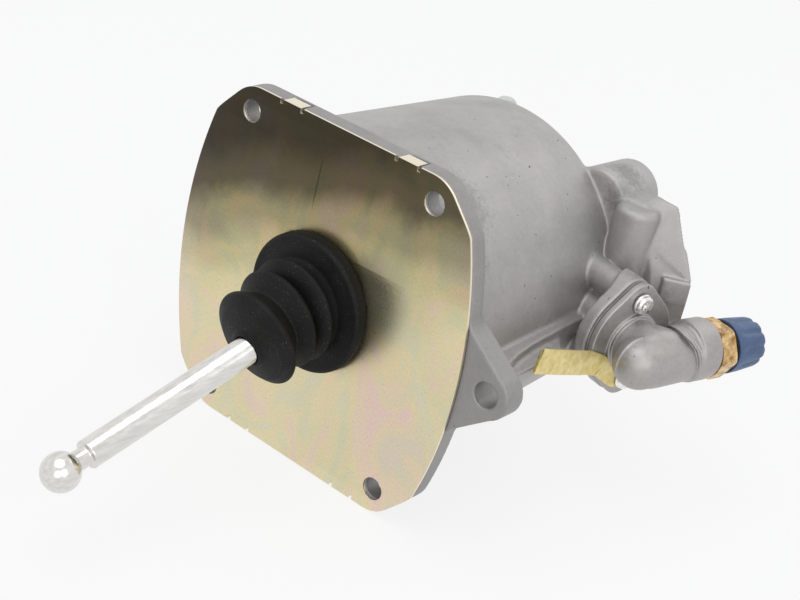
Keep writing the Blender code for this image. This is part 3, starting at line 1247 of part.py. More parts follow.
def build_control_valve(surfaces, carrier):
    places = valve_stations()
    front, rear = places["piston"]
    stem_rear = places["inlet"][0] + FACE_GAP / 2
    middle = (front + rear) / 2
    half = VALVE_RING_RADIUS + GROOVE_SIDE_GAP
    radius = VALVE_PISTON_RADIUS
    floor = radius - 2 * VALVE_RING_RADIUS - GROOVE_SIDE_GAP
    profile = [(front, 0), (front, radius - 0.0004), (front - 0.0004, radius),
               (middle + half, radius), (middle + half, floor), (middle - half, floor),
               (middle - half, radius), (rear, radius), (rear, VALVE_STEM_RADIUS),
               (stem_rear, VALVE_STEM_RADIUS), (stem_rear, 0)]
    piston = turned("valve_piston", profile, VALVE_AXIS, X_AXIS, ROUND_STEPS)
    paint(piston, surfaces["piston"], carrier)
    centre = (middle, floor + GROOVE_SIDE_GAP / 2 + VALVE_RING_RADIUS)
    section = arc(centre, VALVE_RING_RADIUS, 0, 2 * math.pi * 5 / 6, 5)
    seal = turned("valve_piston_seal", section, VALVE_AXIS, X_AXIS, ROUND_STEPS)
    paint(seal, surfaces["rubber"], carrier)
    front, rear = places["inlet"]
    disc = [(front, 0), (front, INLET_VALVE_RADIUS), (rear, INLET_VALVE_RADIUS), (rear, 0)]
    paint(turned("inlet_valve", disc, VALVE_AXIS, X_AXIS, 24), surfaces["rubber"], carrier)


def build_valve_fixed(surfaces):
    places = valve_stations()
    outer = VALVE_BORE_RADIUS - RUNNING_GAP
    front, rear = places["seat"]
    seat = ring("valve_seat", front, rear, VALVE_SEAT_HOLE_RADIUS, outer, ROUND_STEPS, VALVE_AXIS)
    paint(seat, surfaces["brass"])
    front, rear = places["cover"]
    hole = EXHAUST_STEM_RADIUS + RUNNING_GAP
    cover = ring("valve_cover", front, rear, hole, outer, ROUND_STEPS, VALVE_AXIS)
    paint(cover, surfaces["piston"])
    clip_front, clip_rear = places["circlip"]
    clip_outer = VALVE_BORE_RADIUS + CIRCLIP_GROOVE_DEPTH - RUNNING_GAP
    clip = open_ring("valve_circlip", clip_front, clip_rear, clip_outer - CIRCLIP_WIDTH * 0.8,
                     clip_outer, VALVE_AXIS)
    paint(clip, surfaces["spring"])
    flap_front = rear - FACE_GAP
    flap_rear = flap_front - EXHAUST_FLAP_LENGTH
    stem_front = front + 0.0008
    flap = [(stem_front, 0), (stem_front, EXHAUST_STEM_RADIUS), (flap_front, EXHAUST_STEM_RADIUS),
            (flap_front, EXHAUST_FLAP_RADIUS), (flap_rear + 0.0006, EXHAUST_FLAP_RADIUS),
            (flap_rear, EXHAUST_FLAP_RADIUS - 0.0012), (flap_rear, 0)]
    paint(turned("exhaust_flap", flap, VALVE_AXIS, X_AXIS, 24), surfaces["rubber"])


def build_valve_springs(surfaces):
    places = valve_stations()
    upper = coil("valve_return_spring", VALVE_SPRING_RADIUS, SMALL_WIRE_RADIUS,
                 places["piston"][1] - FACE_GAP, places["seat"][0] + FACE_GAP, 3.5, VALVE_AXIS,
                 5, 12)
    paint(upper, surfaces["spring"])
    lower = coil("inlet_spring", INLET_SPRING_RADIUS, SMALL_WIRE_RADIUS,
                 places["inlet"][1] - FACE_GAP, places["cover"][0] + FACE_GAP, 2.5, VALVE_AXIS,
                 5, 12)
    paint(lower, surfaces["spring"])


# Bleed screw and fluid plug

def build_bleed_screw(surfaces):
    seat = Vector((BLEED_X, BLEED_Y, BLEED_BOSS_TOP_Z + FACE_GAP))
    hex_top = BLEED_HEX_HEIGHT
    tip = hex_top + BLEED_NIPPLE_HEIGHT
    depth = BLEED_THREAD_DEPTH - FACE_GAP
    profile = [(-depth, 0), (-depth, BLEED_THREAD_RADIUS - 0.0014),
               (-depth + 0.0015, BLEED_THREAD_RADIUS), (0.0005, BLEED_THREAD_RADIUS),
               (0.0005, 0)]
    screw = turned("bleed_screw", profile, seat, Z_AXIS, 16)
    nut = [(0, 0), (0, BLEED_HEX_RADIUS), (hex_top, BLEED_HEX_RADIUS), (hex_top, 0)]
    join(screw, turned("nut", nut, seat, Z_AXIS, 6))
    nipple = [(hex_top - 0.0005, 0), (hex_top - 0.0005, BLEED_NIPPLE_RADIUS - 0.0005),
              (tip - 0.0022, BLEED_NIPPLE_RADIUS - 0.0004), (tip - 0.0018, BLEED_NIPPLE_RADIUS),
              (tip, BLEED_NIPPLE_RADIUS - 0.0008), (tip, 0)]
    join(screw, turned("nipple", nipple, seat, Z_AXIS, 16))
    paint(screw, surfaces["zinc"])
    foot = hex_top + FACE_GAP
    top = foot + BLEED_CAP_HEIGHT
    inner = BLEED_NIPPLE_RADIUS + RUNNING_GAP
    roof = max(tip + FACE_GAP, top - 0.0016)
    cap = [(roof, 0), (roof, inner), (foot, inner), (foot, BLEED_CAP_RADIUS),
           (top - 0.0012, BLEED_CAP_RADIUS - 0.0004), (top, BLEED_CAP_RADIUS - 0.0016), (top, 0)]
    paint(turned("bleed_cap", cap, seat, Z_AXIS, 20), surfaces["white_cap"])


def build_fluid_plug(surfaces):
    face = HUB_REAR_X - FACE_GAP
    inner = HUB_REAR_X + PLUG_SHANK_LENGTH
    rear = face - PLUG_HEAD_LENGTH
    shank = FLUID_PORT_RADIUS - THREAD_GAP
    profile = [(inner, 0), (inner, shank), (face, shank), (face, PLUG_HEAD_RADIUS),
               (face - 0.0016, PLUG_HEAD_RADIUS), (face - 0.0020, PLUG_HEAD_RADIUS - 0.0020),
               (rear + 0.0008, PLUG_HEAD_RADIUS - 0.0026), (rear, PLUG_HEAD_RADIUS - 0.0036),
               (rear, 0)]
    paint(turned("fluid_port_plug", profile, steps=24), surfaces["plug"])


# Empties on the joints' axes

def carrier(name, place, parent=None):
    empty = bpy.data.objects.new(name, None)
    bpy.context.scene.collection.objects.link(empty)
    empty.location = place
    if parent is not None:
        empty.location = Vector(place) - Vector(parent.location)
        empty.parent = parent
    bpy.context.view_layer.update()
    return empty


def main():
    remove_all()
    surfaces = part_materials()
    stroke = carrier("stroke_axis", (0, 0, 0))
    swing = carrier("swing_pivot", (PIVOT_X, 0, 0), stroke)
    tilt = carrier("tilt_pivot", (PIVOT_X, 0, 0), swing)
    valve = carrier("valve_axis", (VALVE_BORE_FRONT_X, VALVE_CENTRE_Y, VALVE_CENTRE_Z))
    build_housing(surfaces)
    build_cover_plate(surfaces)
    build_dust_boot(surfaces)
    build_piston_group(surfaces, stroke)
    build_plunger(surfaces, stroke)
    build_plunger_guide(surfaces)
    build_preload_spring(surfaces)
    build_seat_liner(surfaces, swing)
    build_pushrod(surfaces, tilt)
    build_elbow(surfaces)
    build_gasket(surfaces)
    build_elbow_screws(surfaces)
    build_union(surfaces)
    build_tag(surfaces)
    build_control_valve(surfaces, valve)
    build_valve_fixed(surfaces)
    build_valve_springs(surfaces)
    build_bleed_screw(surfaces)
    build_fluid_plug(surfaces)


main()
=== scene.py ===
import json
import math

import bmesh
import bpy
import numpy as np
from mathutils import Matrix, Vector


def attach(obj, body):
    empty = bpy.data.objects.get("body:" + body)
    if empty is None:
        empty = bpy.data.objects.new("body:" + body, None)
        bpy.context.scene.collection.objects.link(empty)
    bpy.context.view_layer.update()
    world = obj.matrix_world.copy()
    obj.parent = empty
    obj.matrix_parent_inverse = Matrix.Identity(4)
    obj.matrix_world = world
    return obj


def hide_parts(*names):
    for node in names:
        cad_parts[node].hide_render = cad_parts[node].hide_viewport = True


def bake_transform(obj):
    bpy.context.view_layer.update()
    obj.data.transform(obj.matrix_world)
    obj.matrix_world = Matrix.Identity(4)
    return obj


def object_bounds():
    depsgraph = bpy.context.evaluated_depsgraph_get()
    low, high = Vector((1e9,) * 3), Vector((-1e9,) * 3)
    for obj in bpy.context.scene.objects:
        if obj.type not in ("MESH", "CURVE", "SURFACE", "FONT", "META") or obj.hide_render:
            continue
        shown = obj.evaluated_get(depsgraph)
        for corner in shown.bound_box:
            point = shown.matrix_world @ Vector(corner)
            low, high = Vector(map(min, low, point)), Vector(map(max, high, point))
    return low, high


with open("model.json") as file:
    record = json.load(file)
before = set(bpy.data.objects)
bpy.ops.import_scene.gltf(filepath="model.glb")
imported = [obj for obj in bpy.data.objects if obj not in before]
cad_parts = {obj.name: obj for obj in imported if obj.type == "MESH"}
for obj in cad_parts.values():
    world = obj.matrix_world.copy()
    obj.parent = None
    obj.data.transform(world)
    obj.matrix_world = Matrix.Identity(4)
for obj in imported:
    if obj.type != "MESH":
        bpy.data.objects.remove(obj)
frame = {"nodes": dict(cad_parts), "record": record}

CAD_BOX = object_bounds()

# All lengths below are in millimetres; meshes are scaled to metres when they are made.
MM = 0.001
CELL_CASTING = 0.62
CELL_ELBOW = 0.32
X_AXIS, Y_AXIS, Z_AXIS = Vector((1, 0, 0)), Vector((0, 1, 0)), Vector((0, 0, 1))

# Cylinder, from the flange's face to the end of the rear hub
BORE, BELL_FRONT, BELL_REAR, BELL_SHOULDER = 51.0, 61.8, 57.6, 6.5
FLANGE_FACE_X, FLANGE_BACK_X, BORE_FLOOR_X, BELL_END_X, HUB_END_X = -1.5, -8.3, -98.0, -106.0, -150.0
HUB_RADIUS, HUB_FILLET = 21.0, 4.0
GUIDE_SEAT, GUIDE_SEAT_X = 15.3, -108.5
PLUNGER_BORE, PLUNGER_END_X, FLUID_PORT = 10.15, -146.0, 5.5
# Turned outlines close at this radius, on the far side of their axis
FAR_SIDE = -20.0

# Flange, ear and cover plate
HALF_WIDTH, HALF_HEIGHT, FLANGE_CORNER = 65.5, 64.2, 6.0
EAR, EAR_RADIUS, EAR_HOLE = (76.0, 0.9), 8.8, 4.55
HOLES, HOLE_RADIUS = [(y, z) for y in (-41.5, 41.5) for z in (-55.0, 55.0)], 4.2
PLATE_THICKNESS, BOOT_OPENING = 1.2, 21.5
TABS_Y, TAB_HALF, TAB_REACH_X = (-24.0, 28.0), 3.95, -5.5

# Air port: its screws' middle, and the outlet's and the elbow's own axes
PORT_ANGLE = math.radians(15.7)
OUT = Vector((math.sin(PORT_ANGLE), math.cos(PORT_ANGLE), 0))
BACK = Vector((-math.cos(PORT_ANGLE), math.sin(PORT_ANGLE), 0))
PORT = Vector((-83.0, 81.0, 0.4))
PAD = PORT - OUT * 4.0
OUTLET_RISE, OUTLET_DROP = 12.3, 0.7
CORNER = PORT + OUT * OUTLET_RISE - Z_AXIS * OUTLET_DROP
HALF_PITCH, SCREW_HOLE, PORT_BORE = 15.1, 2.7, 6.0

# Valve block, bleed boss and rod
VALVE, VALVE_BORE = (42.0, 34.5), 8.5
BLEED, BLEED_BOSS, BLEED_THREAD = (-113.5, -13.0), 7.5, 4.3
PIVOT = Vector((-11.0, 0, 0))
ROD_TILT = math.radians(15.0)


# Flat outlines

def arc(centre, radius, start, end, count):
    turns = [start + (end - start) * step / count for step in range(count + 1)]
    return [(centre[0] + radius * math.cos(t), centre[1] + radius * math.sin(t)) for t in turns]


def curved_corner(before, here, after, size, count):
    """Points of a curve that leaves a corner's two sides at size from it."""
    before, here, after = Vector(before), Vector(here), Vector(after)
    longest_share = 0.48
    first = here + (before - here).normalized() * min(size, (before - here).length * longest_share)
    last = here + (after - here).normalized() * min(size, (after - here).length * longest_share)
    return [tuple(first * (1 - t) ** 2 + here * (2 * t * (1 - t)) + last * t ** 2)
            for t in (step / count for step in range(count + 1))]


def rounded(corners, radius, count=8):
    """Rounds every corner of a closed outline."""
    outline = []
    for before, here, after in zip([corners[-1]] + corners, corners, corners[1:] + corners[:1]):
        outline += curved_corner(before, here, after, radius, count)
    return outline


def softened(profile, radius, count=5):
    """Rounds the inner corners of an open (station, radius) line and keeps its two ends."""
    line = [tuple(Vector(profile[0]))]
    for before, here, after in zip(profile, profile[1:], profile[2:]):
        line += curved_corner(before, here, after, radius, count)
    return line + [tuple(Vector(profile[-1]))]


def flange_outline(fine=10):
    """Straight top and bottom with two slightly bulging sides."""
    side, bulge, top_half = 50.5, 8.0, 44.5
    radius = (side ** 2 + bulge ** 2) / (2 * bulge)
    turn = math.asin(side / radius)
    right = arc((HALF_WIDTH - radius, 0.0), radius, -turn, turn, 4 * fine)
    cut = rounded([right[-2], right[-1], (top_half, HALF_HEIGHT), (0.0, HALF_HEIGHT)],
                  FLANGE_CORNER, fine)
    quarter = cut[fine + 1:3 * (fine + 1)]
    half = [(y, -z) for y, z in reversed(quarter)] + right[1:-1] + quarter
    return half + [(-y, -z) for y, z in half]


def ear_outline():
    tip = arc(EAR, EAR_RADIUS, math.radians(-66), math.radians(62), 30)
    return [(52.0, -25.0), (60.0, -22.5)] + tip + [(60.0, 23.5), (52.0, 26.0)]


def lobed_outline(border=0.0, fine=3):
    belly, lobe = 18.2 + border, 7.2 + border
    side = math.pi / 2 - math.acos((belly - lobe) / HALF_PITCH)
    outline = arc((0, 0), belly, -side, side, 6 * fine)
    outline += arc((0, HALF_PITCH), lobe, side, math.pi - side, 8 * fine)
    outline += arc((0, 0), belly, math.pi - side, math.pi + side, 6 * fine)
    return outline + arc((0, -HALF_PITCH), lobe, math.pi + side, 2 * math.pi - side, 8 * fine)


# Objects from points, in millimetres

def new_object(name, mesh, smooth_angle=35.0):
    mesh.shade_smooth()
    if smooth_angle:
        mesh.set_sharp_from_angle(angle=math.radians(smooth_angle))
    thing = bpy.data.objects.new(name, mesh)
    bpy.context.scene.collection.objects.link(thing)
    return thing


def from_sheet(name, sheet, smooth_angle=35.0):
    bmesh.ops.remove_doubles(sheet, verts=sheet.verts, dist=1e-4)
    bmesh.ops.recalc_face_normals(sheet, faces=sheet.faces)
    bmesh.ops.scale(sheet, vec=(MM, MM, MM), verts=sheet.verts)
    mesh = bpy.data.meshes.new(name)
    sheet.to_mesh(mesh)
    sheet.free()
    return new_object(name, mesh, smooth_angle)


def skin_loops(sheet, loops, closed):
    pairs = list(zip(loops, loops[1:])) + ([(loops[-1], loops[0])] if closed else [])
    for first, second in pairs:
        count = max(len(first), len(second))
        for step in range(count):
            after = (step + 1) % count
            if len(first) == 1:
                sheet.faces.new((first[0], second[after], second[step]))
            elif len(second) == 1:
                sheet.faces.new((first[step], first[after], second[0]))
            else:
                sheet.faces.new((first[step], first[after], second[after], second[step]))


def turned(name, profile, centre=Vector((0, 0, 0)), axis=X_AXIS, steps=96, shape=None,
           smooth_angle=35.0):
    """Turns (station, radius) points about an axis; shape(angle, station, radius) varies the reach."""
    reference = Z_AXIS if abs(axis.z) < 0.9 else X_AXIS
    across = reference.cross(axis).normalized()
    upward = axis.cross(across).normalized()
    sheet = bmesh.new()
    loops = []
    for station, radius in profile:
        base = centre + axis * station
        if radius <= 1e-6:
            loops.append([sheet.verts.new(base)])
            continue
        loop = []
        for step in range(steps):
            angle = 2 * math.pi * step / steps
            reach = shape(angle, station, radius) if shape else radius
            loop.append(sheet.verts.new(
                base + across * (reach * math.cos(angle)) + upward * (reach * math.sin(angle))))
        loops.append(loop)
    skin_loops(sheet, loops, closed=profile[0][1] > 1e-6)
    return from_sheet(name, sheet, smooth_angle)


def slab(name, outlines, origin, right, upward, thickness, bevel):
    """A flat sheet with holes and bevelled edges; outlines hold the rim first, then the holes.
    It reaches from origin by thickness along right x upward."""
    curve = bpy.data.curves.new(name, "CURVE")
    curve.dimensions = "2D"
    curve.fill_mode = "BOTH"
    curve.extrude = thickness / 2 - bevel
    curve.bevel_depth = bevel
    curve.bevel_resolution = 2
    curve.offset = -bevel
    for outline in outlines:
        spline = curve.splines.new("POLY")
        spline.points.add(len(outline) - 1)
        for point, (u, w) in zip(spline.points, outline):
            point.co = (u, w, 0, 1)
        spline.use_cyclic_u = True
    holder = bpy.data.objects.new(name + "_curve", curve)
    bpy.context.scene.collection.objects.link(holder)
    mesh = bpy.data.meshes.new_from_object(holder)
    bpy.data.objects.remove(holder)
    sheet = bmesh.new()
    sheet.from_mesh(mesh)
    outward = right.cross(upward).normalized()
    for vert in sheet.verts:
        u, w, depth = vert.co
        vert.co = origin + right * u + upward * w + outward * (depth + thickness / 2)
    bmesh.ops.remove_doubles(sheet, verts=sheet.verts, dist=2e-3)
    return from_sheet(name, sheet, 28.0)


def circle(centre, radius, steps=64):
    return arc(centre, radius, 0, 2 * math.pi * (steps - 1) / steps, steps - 1)


def combine(target, tool, operation="DIFFERENCE", smooth_angle=30.0):
    modifier = target.modifiers.new("combine", "BOOLEAN")
    modifier.operation = operation
    modifier.solver = "EXACT"
    modifier.object = tool
    graph = bpy.context.evaluated_depsgraph_get()
    baked = bpy.data.meshes.new_from_object(target.evaluated_get(graph))
    target.modifiers.clear()
    target.data = baked
    bpy.data.objects.remove(tool, do_unlink=True)
    baked.shade_smooth()
    baked.set_sharp_from_angle(angle=math.radians(smooth_angle))
    return target


# Castings are shaped as fields of signed distance, which melt into each other with fillets

class Field:
    def __init__(self, low, high, cell):
        self.cell = cell
        self.low = np.array(low, np.float32)
        counts = np.ceil((np.array(high) - np.array(low)) / cell).astype(int) + 1
        self.axes = [np.float32(self.low[k] + cell * np.arange(counts[k])) for k in range(3)]
        self.x = self.axes[0][:, None, None]
        self.y = self.axes[1][None, :, None]
        self.z = self.axes[2][None, None, :]
        self.shape = tuple(counts)


def melt(a, b, k):
    """Union of two fields with a fillet of about k."""
    h = np.clip(0.5 + 0.5 * (b - a) / k, 0, 1)
    return b + (a - b) * h - k * h * (1 - h)


def carve(a, b, k=0.5):
    """Takes b out of a, and eases the edge by about k."""
    return -melt(-a, b, k)


def outline_distance(points, u, w):
    """Signed distance from the places (u, w) to a closed outline, negative inside it."""
    u, w = np.broadcast_arrays(np.float32(u), np.float32(w))
    best = np.full(u.shape, 1e9, np.float32)
    inside = np.zeros(u.shape, bool)
    for index in range(len(points)):
        (au, aw), (bu, bw) = points[index - 1], points[index]
        eu, ew = bu - au, bw - aw
        length = eu * eu + ew * ew
        if length < 1e-9:
            continue
        pu, pw = u - au, w - aw
        t = np.clip((pu * eu + pw * ew) / length, 0, 1)
        best = np.minimum(best, (pu - eu * t) ** 2 + (pw - ew * t) ** 2)
        if abs(ew) > 1e-9:
            inside ^= ((aw > w) != (bw > w)) & (u < eu * (w - aw) / ew + au)
    return np.where(inside, -np.sqrt(best), np.sqrt(best)).astype(np.float32)


def extruded(flat, run, low, high, edge):
    """A prism's field, from its outline's, reaching from low to high along run."""
    a = flat + edge
    b = np.abs(run - (low + high) / 2) - (high - low) / 2 + edge
    outside = np.sqrt(np.maximum(a, 0) ** 2 + np.maximum(b, 0) ** 2)
    return np.minimum(np.maximum(a, b), 0) + outside - edge


def revolved(field, profile, centre_y=0.0, centre_z=0.0):
    """A body turned about a line along X, from its (x, radius) outline."""
    radius = np.sqrt((field.y[0] - centre_y) ** 2 + (field.z[0] - centre_z) ** 2)
    rung = 0.25
    ladder = np.arange(0, float(radius.max()) + 1, rung, dtype=np.float32)
    table = outline_distance(profile, field.axes[0][:, None], ladder[None, :])
    steps = radius / rung
    lower = np.minimum(steps.astype(int), len(ladder) - 2)
    share = (steps - lower).astype(np.float32)
    return table[:, lower] * (1 - share) + table[:, lower + 1] * share


def sampled(field, values, points):
    """Values of the field at loose points, by trilinear interpolation."""
    place = (points - field.low) / field.cell
    base = np.clip(place.astype(int), 0, np.array(field.shape) - 2)
    share = (place - base).astype(np.float32)
    total = np.zeros(len(points), np.float32)
    for corner in range(8):
        bits = np.array([(corner >> k) & 1 for k in range(3)])
        weight = np.prod(np.where(bits, share, 1 - share), axis=1)
        i, j, k = (base + bits).T
        total += values[i, j, k] * weight
    return total


def surface_of(field, values):
    """Vertices and quads of the field's zero surface: one vertex in each cell that it crosses."""
    sign = values < 0
    low = np.ones([n - 1 for n in field.shape], bool)
    high = np.zeros_like(low)
    for corner in range(8):
        part = sign[tuple(slice((corner >> k) & 1, field.shape[k] - 1 + ((corner >> k) & 1))
                          for k in range(3))]
        low &= part
        high |= part
    active = high & ~low
    rank = np.full(active.shape, -1, np.int32)
    count = int(active.sum())
    rank[active] = np.arange(count, dtype=np.int32)
    sums = np.zeros((count, 3))
    hits = np.zeros(count)
    quads = []
    for axis in range(3):
        b, c = (axis + 1) % 3, (axis + 2) % 3
        head = [slice(None)] * 3
        tail = [slice(None)] * 3
        head[axis], tail[axis] = slice(0, -1), slice(1, None)
        first, second = sign[tuple(head)], sign[tuple(tail)]
        places = np.array(np.nonzero(first != second))
        inner = np.all([(places[k] > 0) & (places[k] < active.shape[k]) for k in (b, c)], axis=0)
        places = places[:, inner]
        start = values[tuple(places)]
        ahead = places.copy()
        ahead[axis] += 1
        t = start / (start - values[tuple(ahead)])
        crossing = places.T.astype(np.float64)
        crossing[:, axis] += t
        around = []
        for db, dc in ((-1, -1), (0, -1), (0, 0), (-1, 0)):
            cell = places.copy()
            cell[b] += db
            cell[c] += dc
            number = rank[tuple(cell)]
            around.append(number)
            hits += np.bincount(number, minlength=count)
            for k in range(3):
                sums[:, k] += np.bincount(number, weights=crossing[:, k], minlength=count)
        around = np.array(around).T
        outward = first[tuple(places)]
        around[~outward] = around[~outward][:, ::-1]
        quads.append(around)
    points = (sums / hits[:, None]) * field.cell + field.low
    return points, np.concatenate(quads)


def relaxed(field, values, points, quads, rounds=2):
    """Evens the mesh out and puts its points back on the surface."""
    count = len(points)
    step = field.cell * 0.5
    for _ in range(rounds):
        total = np.zeros((count, 3))
        near = np.zeros(count)
        for k in range(4):
            here, there = quads[:, k], quads[:, (k + 1) % 4]
            for a, b in ((here, there), (there, here)):
                near += np.bincount(a, minlength=count)
                for axis in range(3):
                    total[:, axis] += np.bincount(a, weights=points[b, axis], minlength=count)
        points = points * 0.45 + total / near[:, None] * 0.55
        slope = np.stack([sampled(field, values, points + np.eye(3)[k] * step)
                          - sampled(field, values, points - np.eye(3)[k] * step)
                          for k in range(3)], axis=1) / (2 * step)
        length = np.maximum(np.linalg.norm(slope, axis=1, keepdims=True), 0.3)
        miss = sampled(field, values, points)[:, None] / length
        points = points - slope / length * np.clip(miss, -0.4, 0.4)
    return points


def cast(name, field, values, limit=190000, place=None):
    """Makes a smooth mesh of a field; place moves its points into the row frame."""
    points, quads = surface_of(field, values)
    points = relaxed(field, values, points, quads)
    if place is not None:
        points = place(points)
    points = np.clip(points, *(np.array(corner) / MM for corner in CAD_BOX))
    mesh = bpy.data.meshes.new(name)
    mesh.vertices.add(len(points))
    mesh.vertices.foreach_set("co", (points * MM).astype(np.float32).ravel())
    mesh.loops.add(quads.size)
    mesh.loops.foreach_set("vertex_index", quads.astype(np.int32).ravel())
    mesh.polygons.add(len(quads))
    mesh.polygons.foreach_set("loop_start", np.arange(0, quads.size, 4, dtype=np.int32))
    mesh.update(calc_edges=True)
    mesh.validate()
    thing = new_object(name, mesh, None)
    triangles = 2 * len(quads)
    if triangles > limit:
        modifier = thing.modifiers.new("fewer", "DECIMATE")
        modifier.ratio = limit / triangles
        graph = bpy.context.evaluated_depsgraph_get()
        thing.data = bpy.data.meshes.new_from_object(thing.evaluated_get(graph))
        thing.modifiers.clear()
        thing.data.shade_smooth()
    return thing


def flat_x(field, outline):
    """The distance in (y, z) to an outline."""
    return outline_distance(outline, field.axes[1][:, None], field.axes[2][None, :])[None]


def prism_x(field, outline, low, high, edge):
    """An outline in (y, z) reaching from low to high in x."""
    return extruded(flat_x(field, outline), field.x, low, high, edge)


def lofted_x(field, rear, front, low, high, edge):
    """Two outlines in (y, z), the rear one at low and the front one at high, joined straight."""
    share = np.clip((field.x - low) / (high - low), 0, 1)
    flat = flat_x(field, rear) * (1 - share) + flat_x(field, front) * share
    return extruded(flat, field.x, low, high, edge)


def prism_z(field, outline, low, high, edge):
    """An outline in (x, y) reaching from low to high in z."""
    flat = outline_distance(outline, field.axes[0][:, None], field.axes[1][None, :])[:, :, None]
    return extruded(flat, field.z, low, high, edge)


def bar_x(field, centre, radius, low, high):
    flat = np.sqrt((field.y - centre[0]) ** 2 + (field.z - centre[1]) ** 2) - radius
    return extruded(flat, field.x, low, high, 0.0)


def bar_z(field, centre, radius, low, high, edge=0.0):
    flat = np.sqrt((field.x - centre[0]) ** 2 + (field.y - centre[1]) ** 2) - radius
    return extruded(flat, field.z, low, high, edge)


def bell_outline():
    shoulder = arc((BELL_END_X + BELL_SHOULDER, BELL_REAR - BELL_SHOULDER), BELL_SHOULDER,
                   math.pi / 2, math.pi, 10)
    fillet = arc((BELL_END_X - HUB_FILLET, HUB_RADIUS + HUB_FILLET), HUB_FILLET,
                 0, -math.pi / 2, 8)
    hub = [(HUB_END_X + 1.4, HUB_RADIUS - 0.7), (HUB_END_X + 0.6, HUB_RADIUS - 1.2),
           (HUB_END_X, HUB_RADIUS - 2.2), (HUB_END_X, FAR_SIDE)]
    front = [(FLANGE_FACE_X, FAR_SIDE), (FLANGE_FACE_X, BELL_FRONT), (FLANGE_BACK_X, BELL_FRONT)]
    return front + shoulder + fillet + hub


def core_outline():
    before, behind = 4.0, HUB_END_X - 3.0
    return [(before, FAR_SIDE), (before, BORE + 1.0), (FLANGE_FACE_X, BORE + 1.0),
            (FLANGE_FACE_X - 1.0, BORE), (BORE_FLOOR_X, BORE), (BORE_FLOOR_X, GUIDE_SEAT),
            (GUIDE_SEAT_X, GUIDE_SEAT), (GUIDE_SEAT_X, PLUNGER_BORE),
            (PLUNGER_END_X, PLUNGER_BORE), (PLUNGER_END_X, FLUID_PORT), (behind, FLUID_PORT),
            (behind, FAR_SIDE)]


def near_port(field):
    """Which points lie near the port, and where, along the outlet, outward and up."""
    x, y, z = field.x, field.y, field.z
    u = (x - PAD.x) * BACK.x + (y - PAD.y) * BACK.y + z * 0
    out = (x - PAD.x) * OUT.x + (y - PAD.y) * OUT.y + z * 0
    up = z - PAD.z + u * 0
    close = (np.abs(u) < 26) & (np.abs(up) < 30) & (out > -38) & (out < 6) & (y >= 20)
    return close, u[close], out[close], up[close]


def port_pad(u, out, up):
    """A lobed plate, deeper towards the rear, on a tube and the bosses of the two screws."""
    depth, shallow, slant_start, slant_length = 9.5, 5.5, 2.0, 10.0
    tube_radius, tube_depth, boss_radius, boss_depth = 8.8, 33.4, 5.8, 26.0
    reach = depth - (depth - shallow) * np.clip((slant_start - u) / slant_length, 0.0, 1.0)
    plate = extruded(outline_distance(lobed_outline(0.3, 2), u, up), out, -reach, 0.0, 0.6)
    back = extruded(np.hypot(u, up) - tube_radius, out, -tube_depth, -0.6, 0.5)
    for side in (1, -1):
        boss = np.hypot(u, up - side * HALF_PITCH) - boss_radius
        back = melt(back, extruded(boss, out, -boss_depth, -0.4, 0.5), 2.0)
    return melt(plate, back, 1.2)


def add_ribs(field, body):
    root, front, rear = 45.0, -9.0, -84.0
    crest = [(rear, 62.7), (-70, 63.0), (-57, 63.7), (-43.4, 64.7), (-33, 66.4), (-25, 68.6),
             (-16, 72.4), (front, 76)]
    rib = prism_z(field, [(front, root), (rear, root)] + crest, -3.6, 2.2, 0.5)
    rear = -65.0
    crest = [(rear, 60.5), (-61.5, 65.5), (-56, 69.5), (-50, 70.8), (-42, 71.3), (-24, 72),
             (front, 74.2)]
    gusset = prism_z(field, [(front, root), (rear, root)] + crest, -5.6, -1.2, 0.8)
    return melt(body, melt(rib, gusset, 1.8), 1.8)


def add_valve_block(field, body):
    """Upper and lower block, the bulge on their face, the lug, the bridge and the round boss."""
    front = [(22.7, 11.3), (74.5, 11.3), (70.3, 22.7), (66.5, 32.2), (63.7, 38.7), (61.7, 41.5),
             (54.5, 41.7), (38.7, 37.7), (22.7, 31.7)]
    rear = [(30, 17.6), (85.3, 17.6), (79.2, 29.5), (75.8, 36.2), (73.0, 42.2), (71.5, 44.0),
            (62.8, 44.5), (46.0, 42.0), (30, 36)]
    body = melt(body, lofted_x(field, rear, front, -110.5, -103.0, 1.0), 1.6)
    rear = rounded([(20, -18), (62, -26), (79.8, -18), (85.3, 0), (85.8, 12), (84.8, 18.5),
                    (79.0, 30), (30, 30)], 3.0, 4)
    slant, slant_from = 12.3, 70.8
    front = [(y - slant if y > slant_from else y, z) for y, z in rear]
    body = melt(body, lofted_x(field, rear, front, -111.1, -103.2, 0.9), 1.6)
    body = melt(body, bar_z(field, (-103.0, 60.0), 8.4, 4.0, 40.5, 2.5), 1.3)
    lug = [(-110.5, 80.0), (-106.9, 74.0), (-103.4, 77.0), (-109.2, 85.8)]
    body = melt(body, prism_z(field, lug, 9.6, 18.6, 0.5), 0.6)
    bridge = rounded([(-4, 20), (12, -18), (50, -12), (60, 30), (36, 44)], 6.0, 5)
    body = melt(body, prism_x(field, bridge, -115.5, -104.0, 1.2), 2.5)
    boss = [(-128.0, FAR_SIDE), (-128.0, 11.3), (-127.6, 11.9), (-126.8, 12.3), (-103.0, 13.3),
            (-101.8, 12.6), (-101.4, 11.0), (-101.4, FAR_SIDE)]
    return melt(body, revolved(field, boss, *VALVE), 1.6)


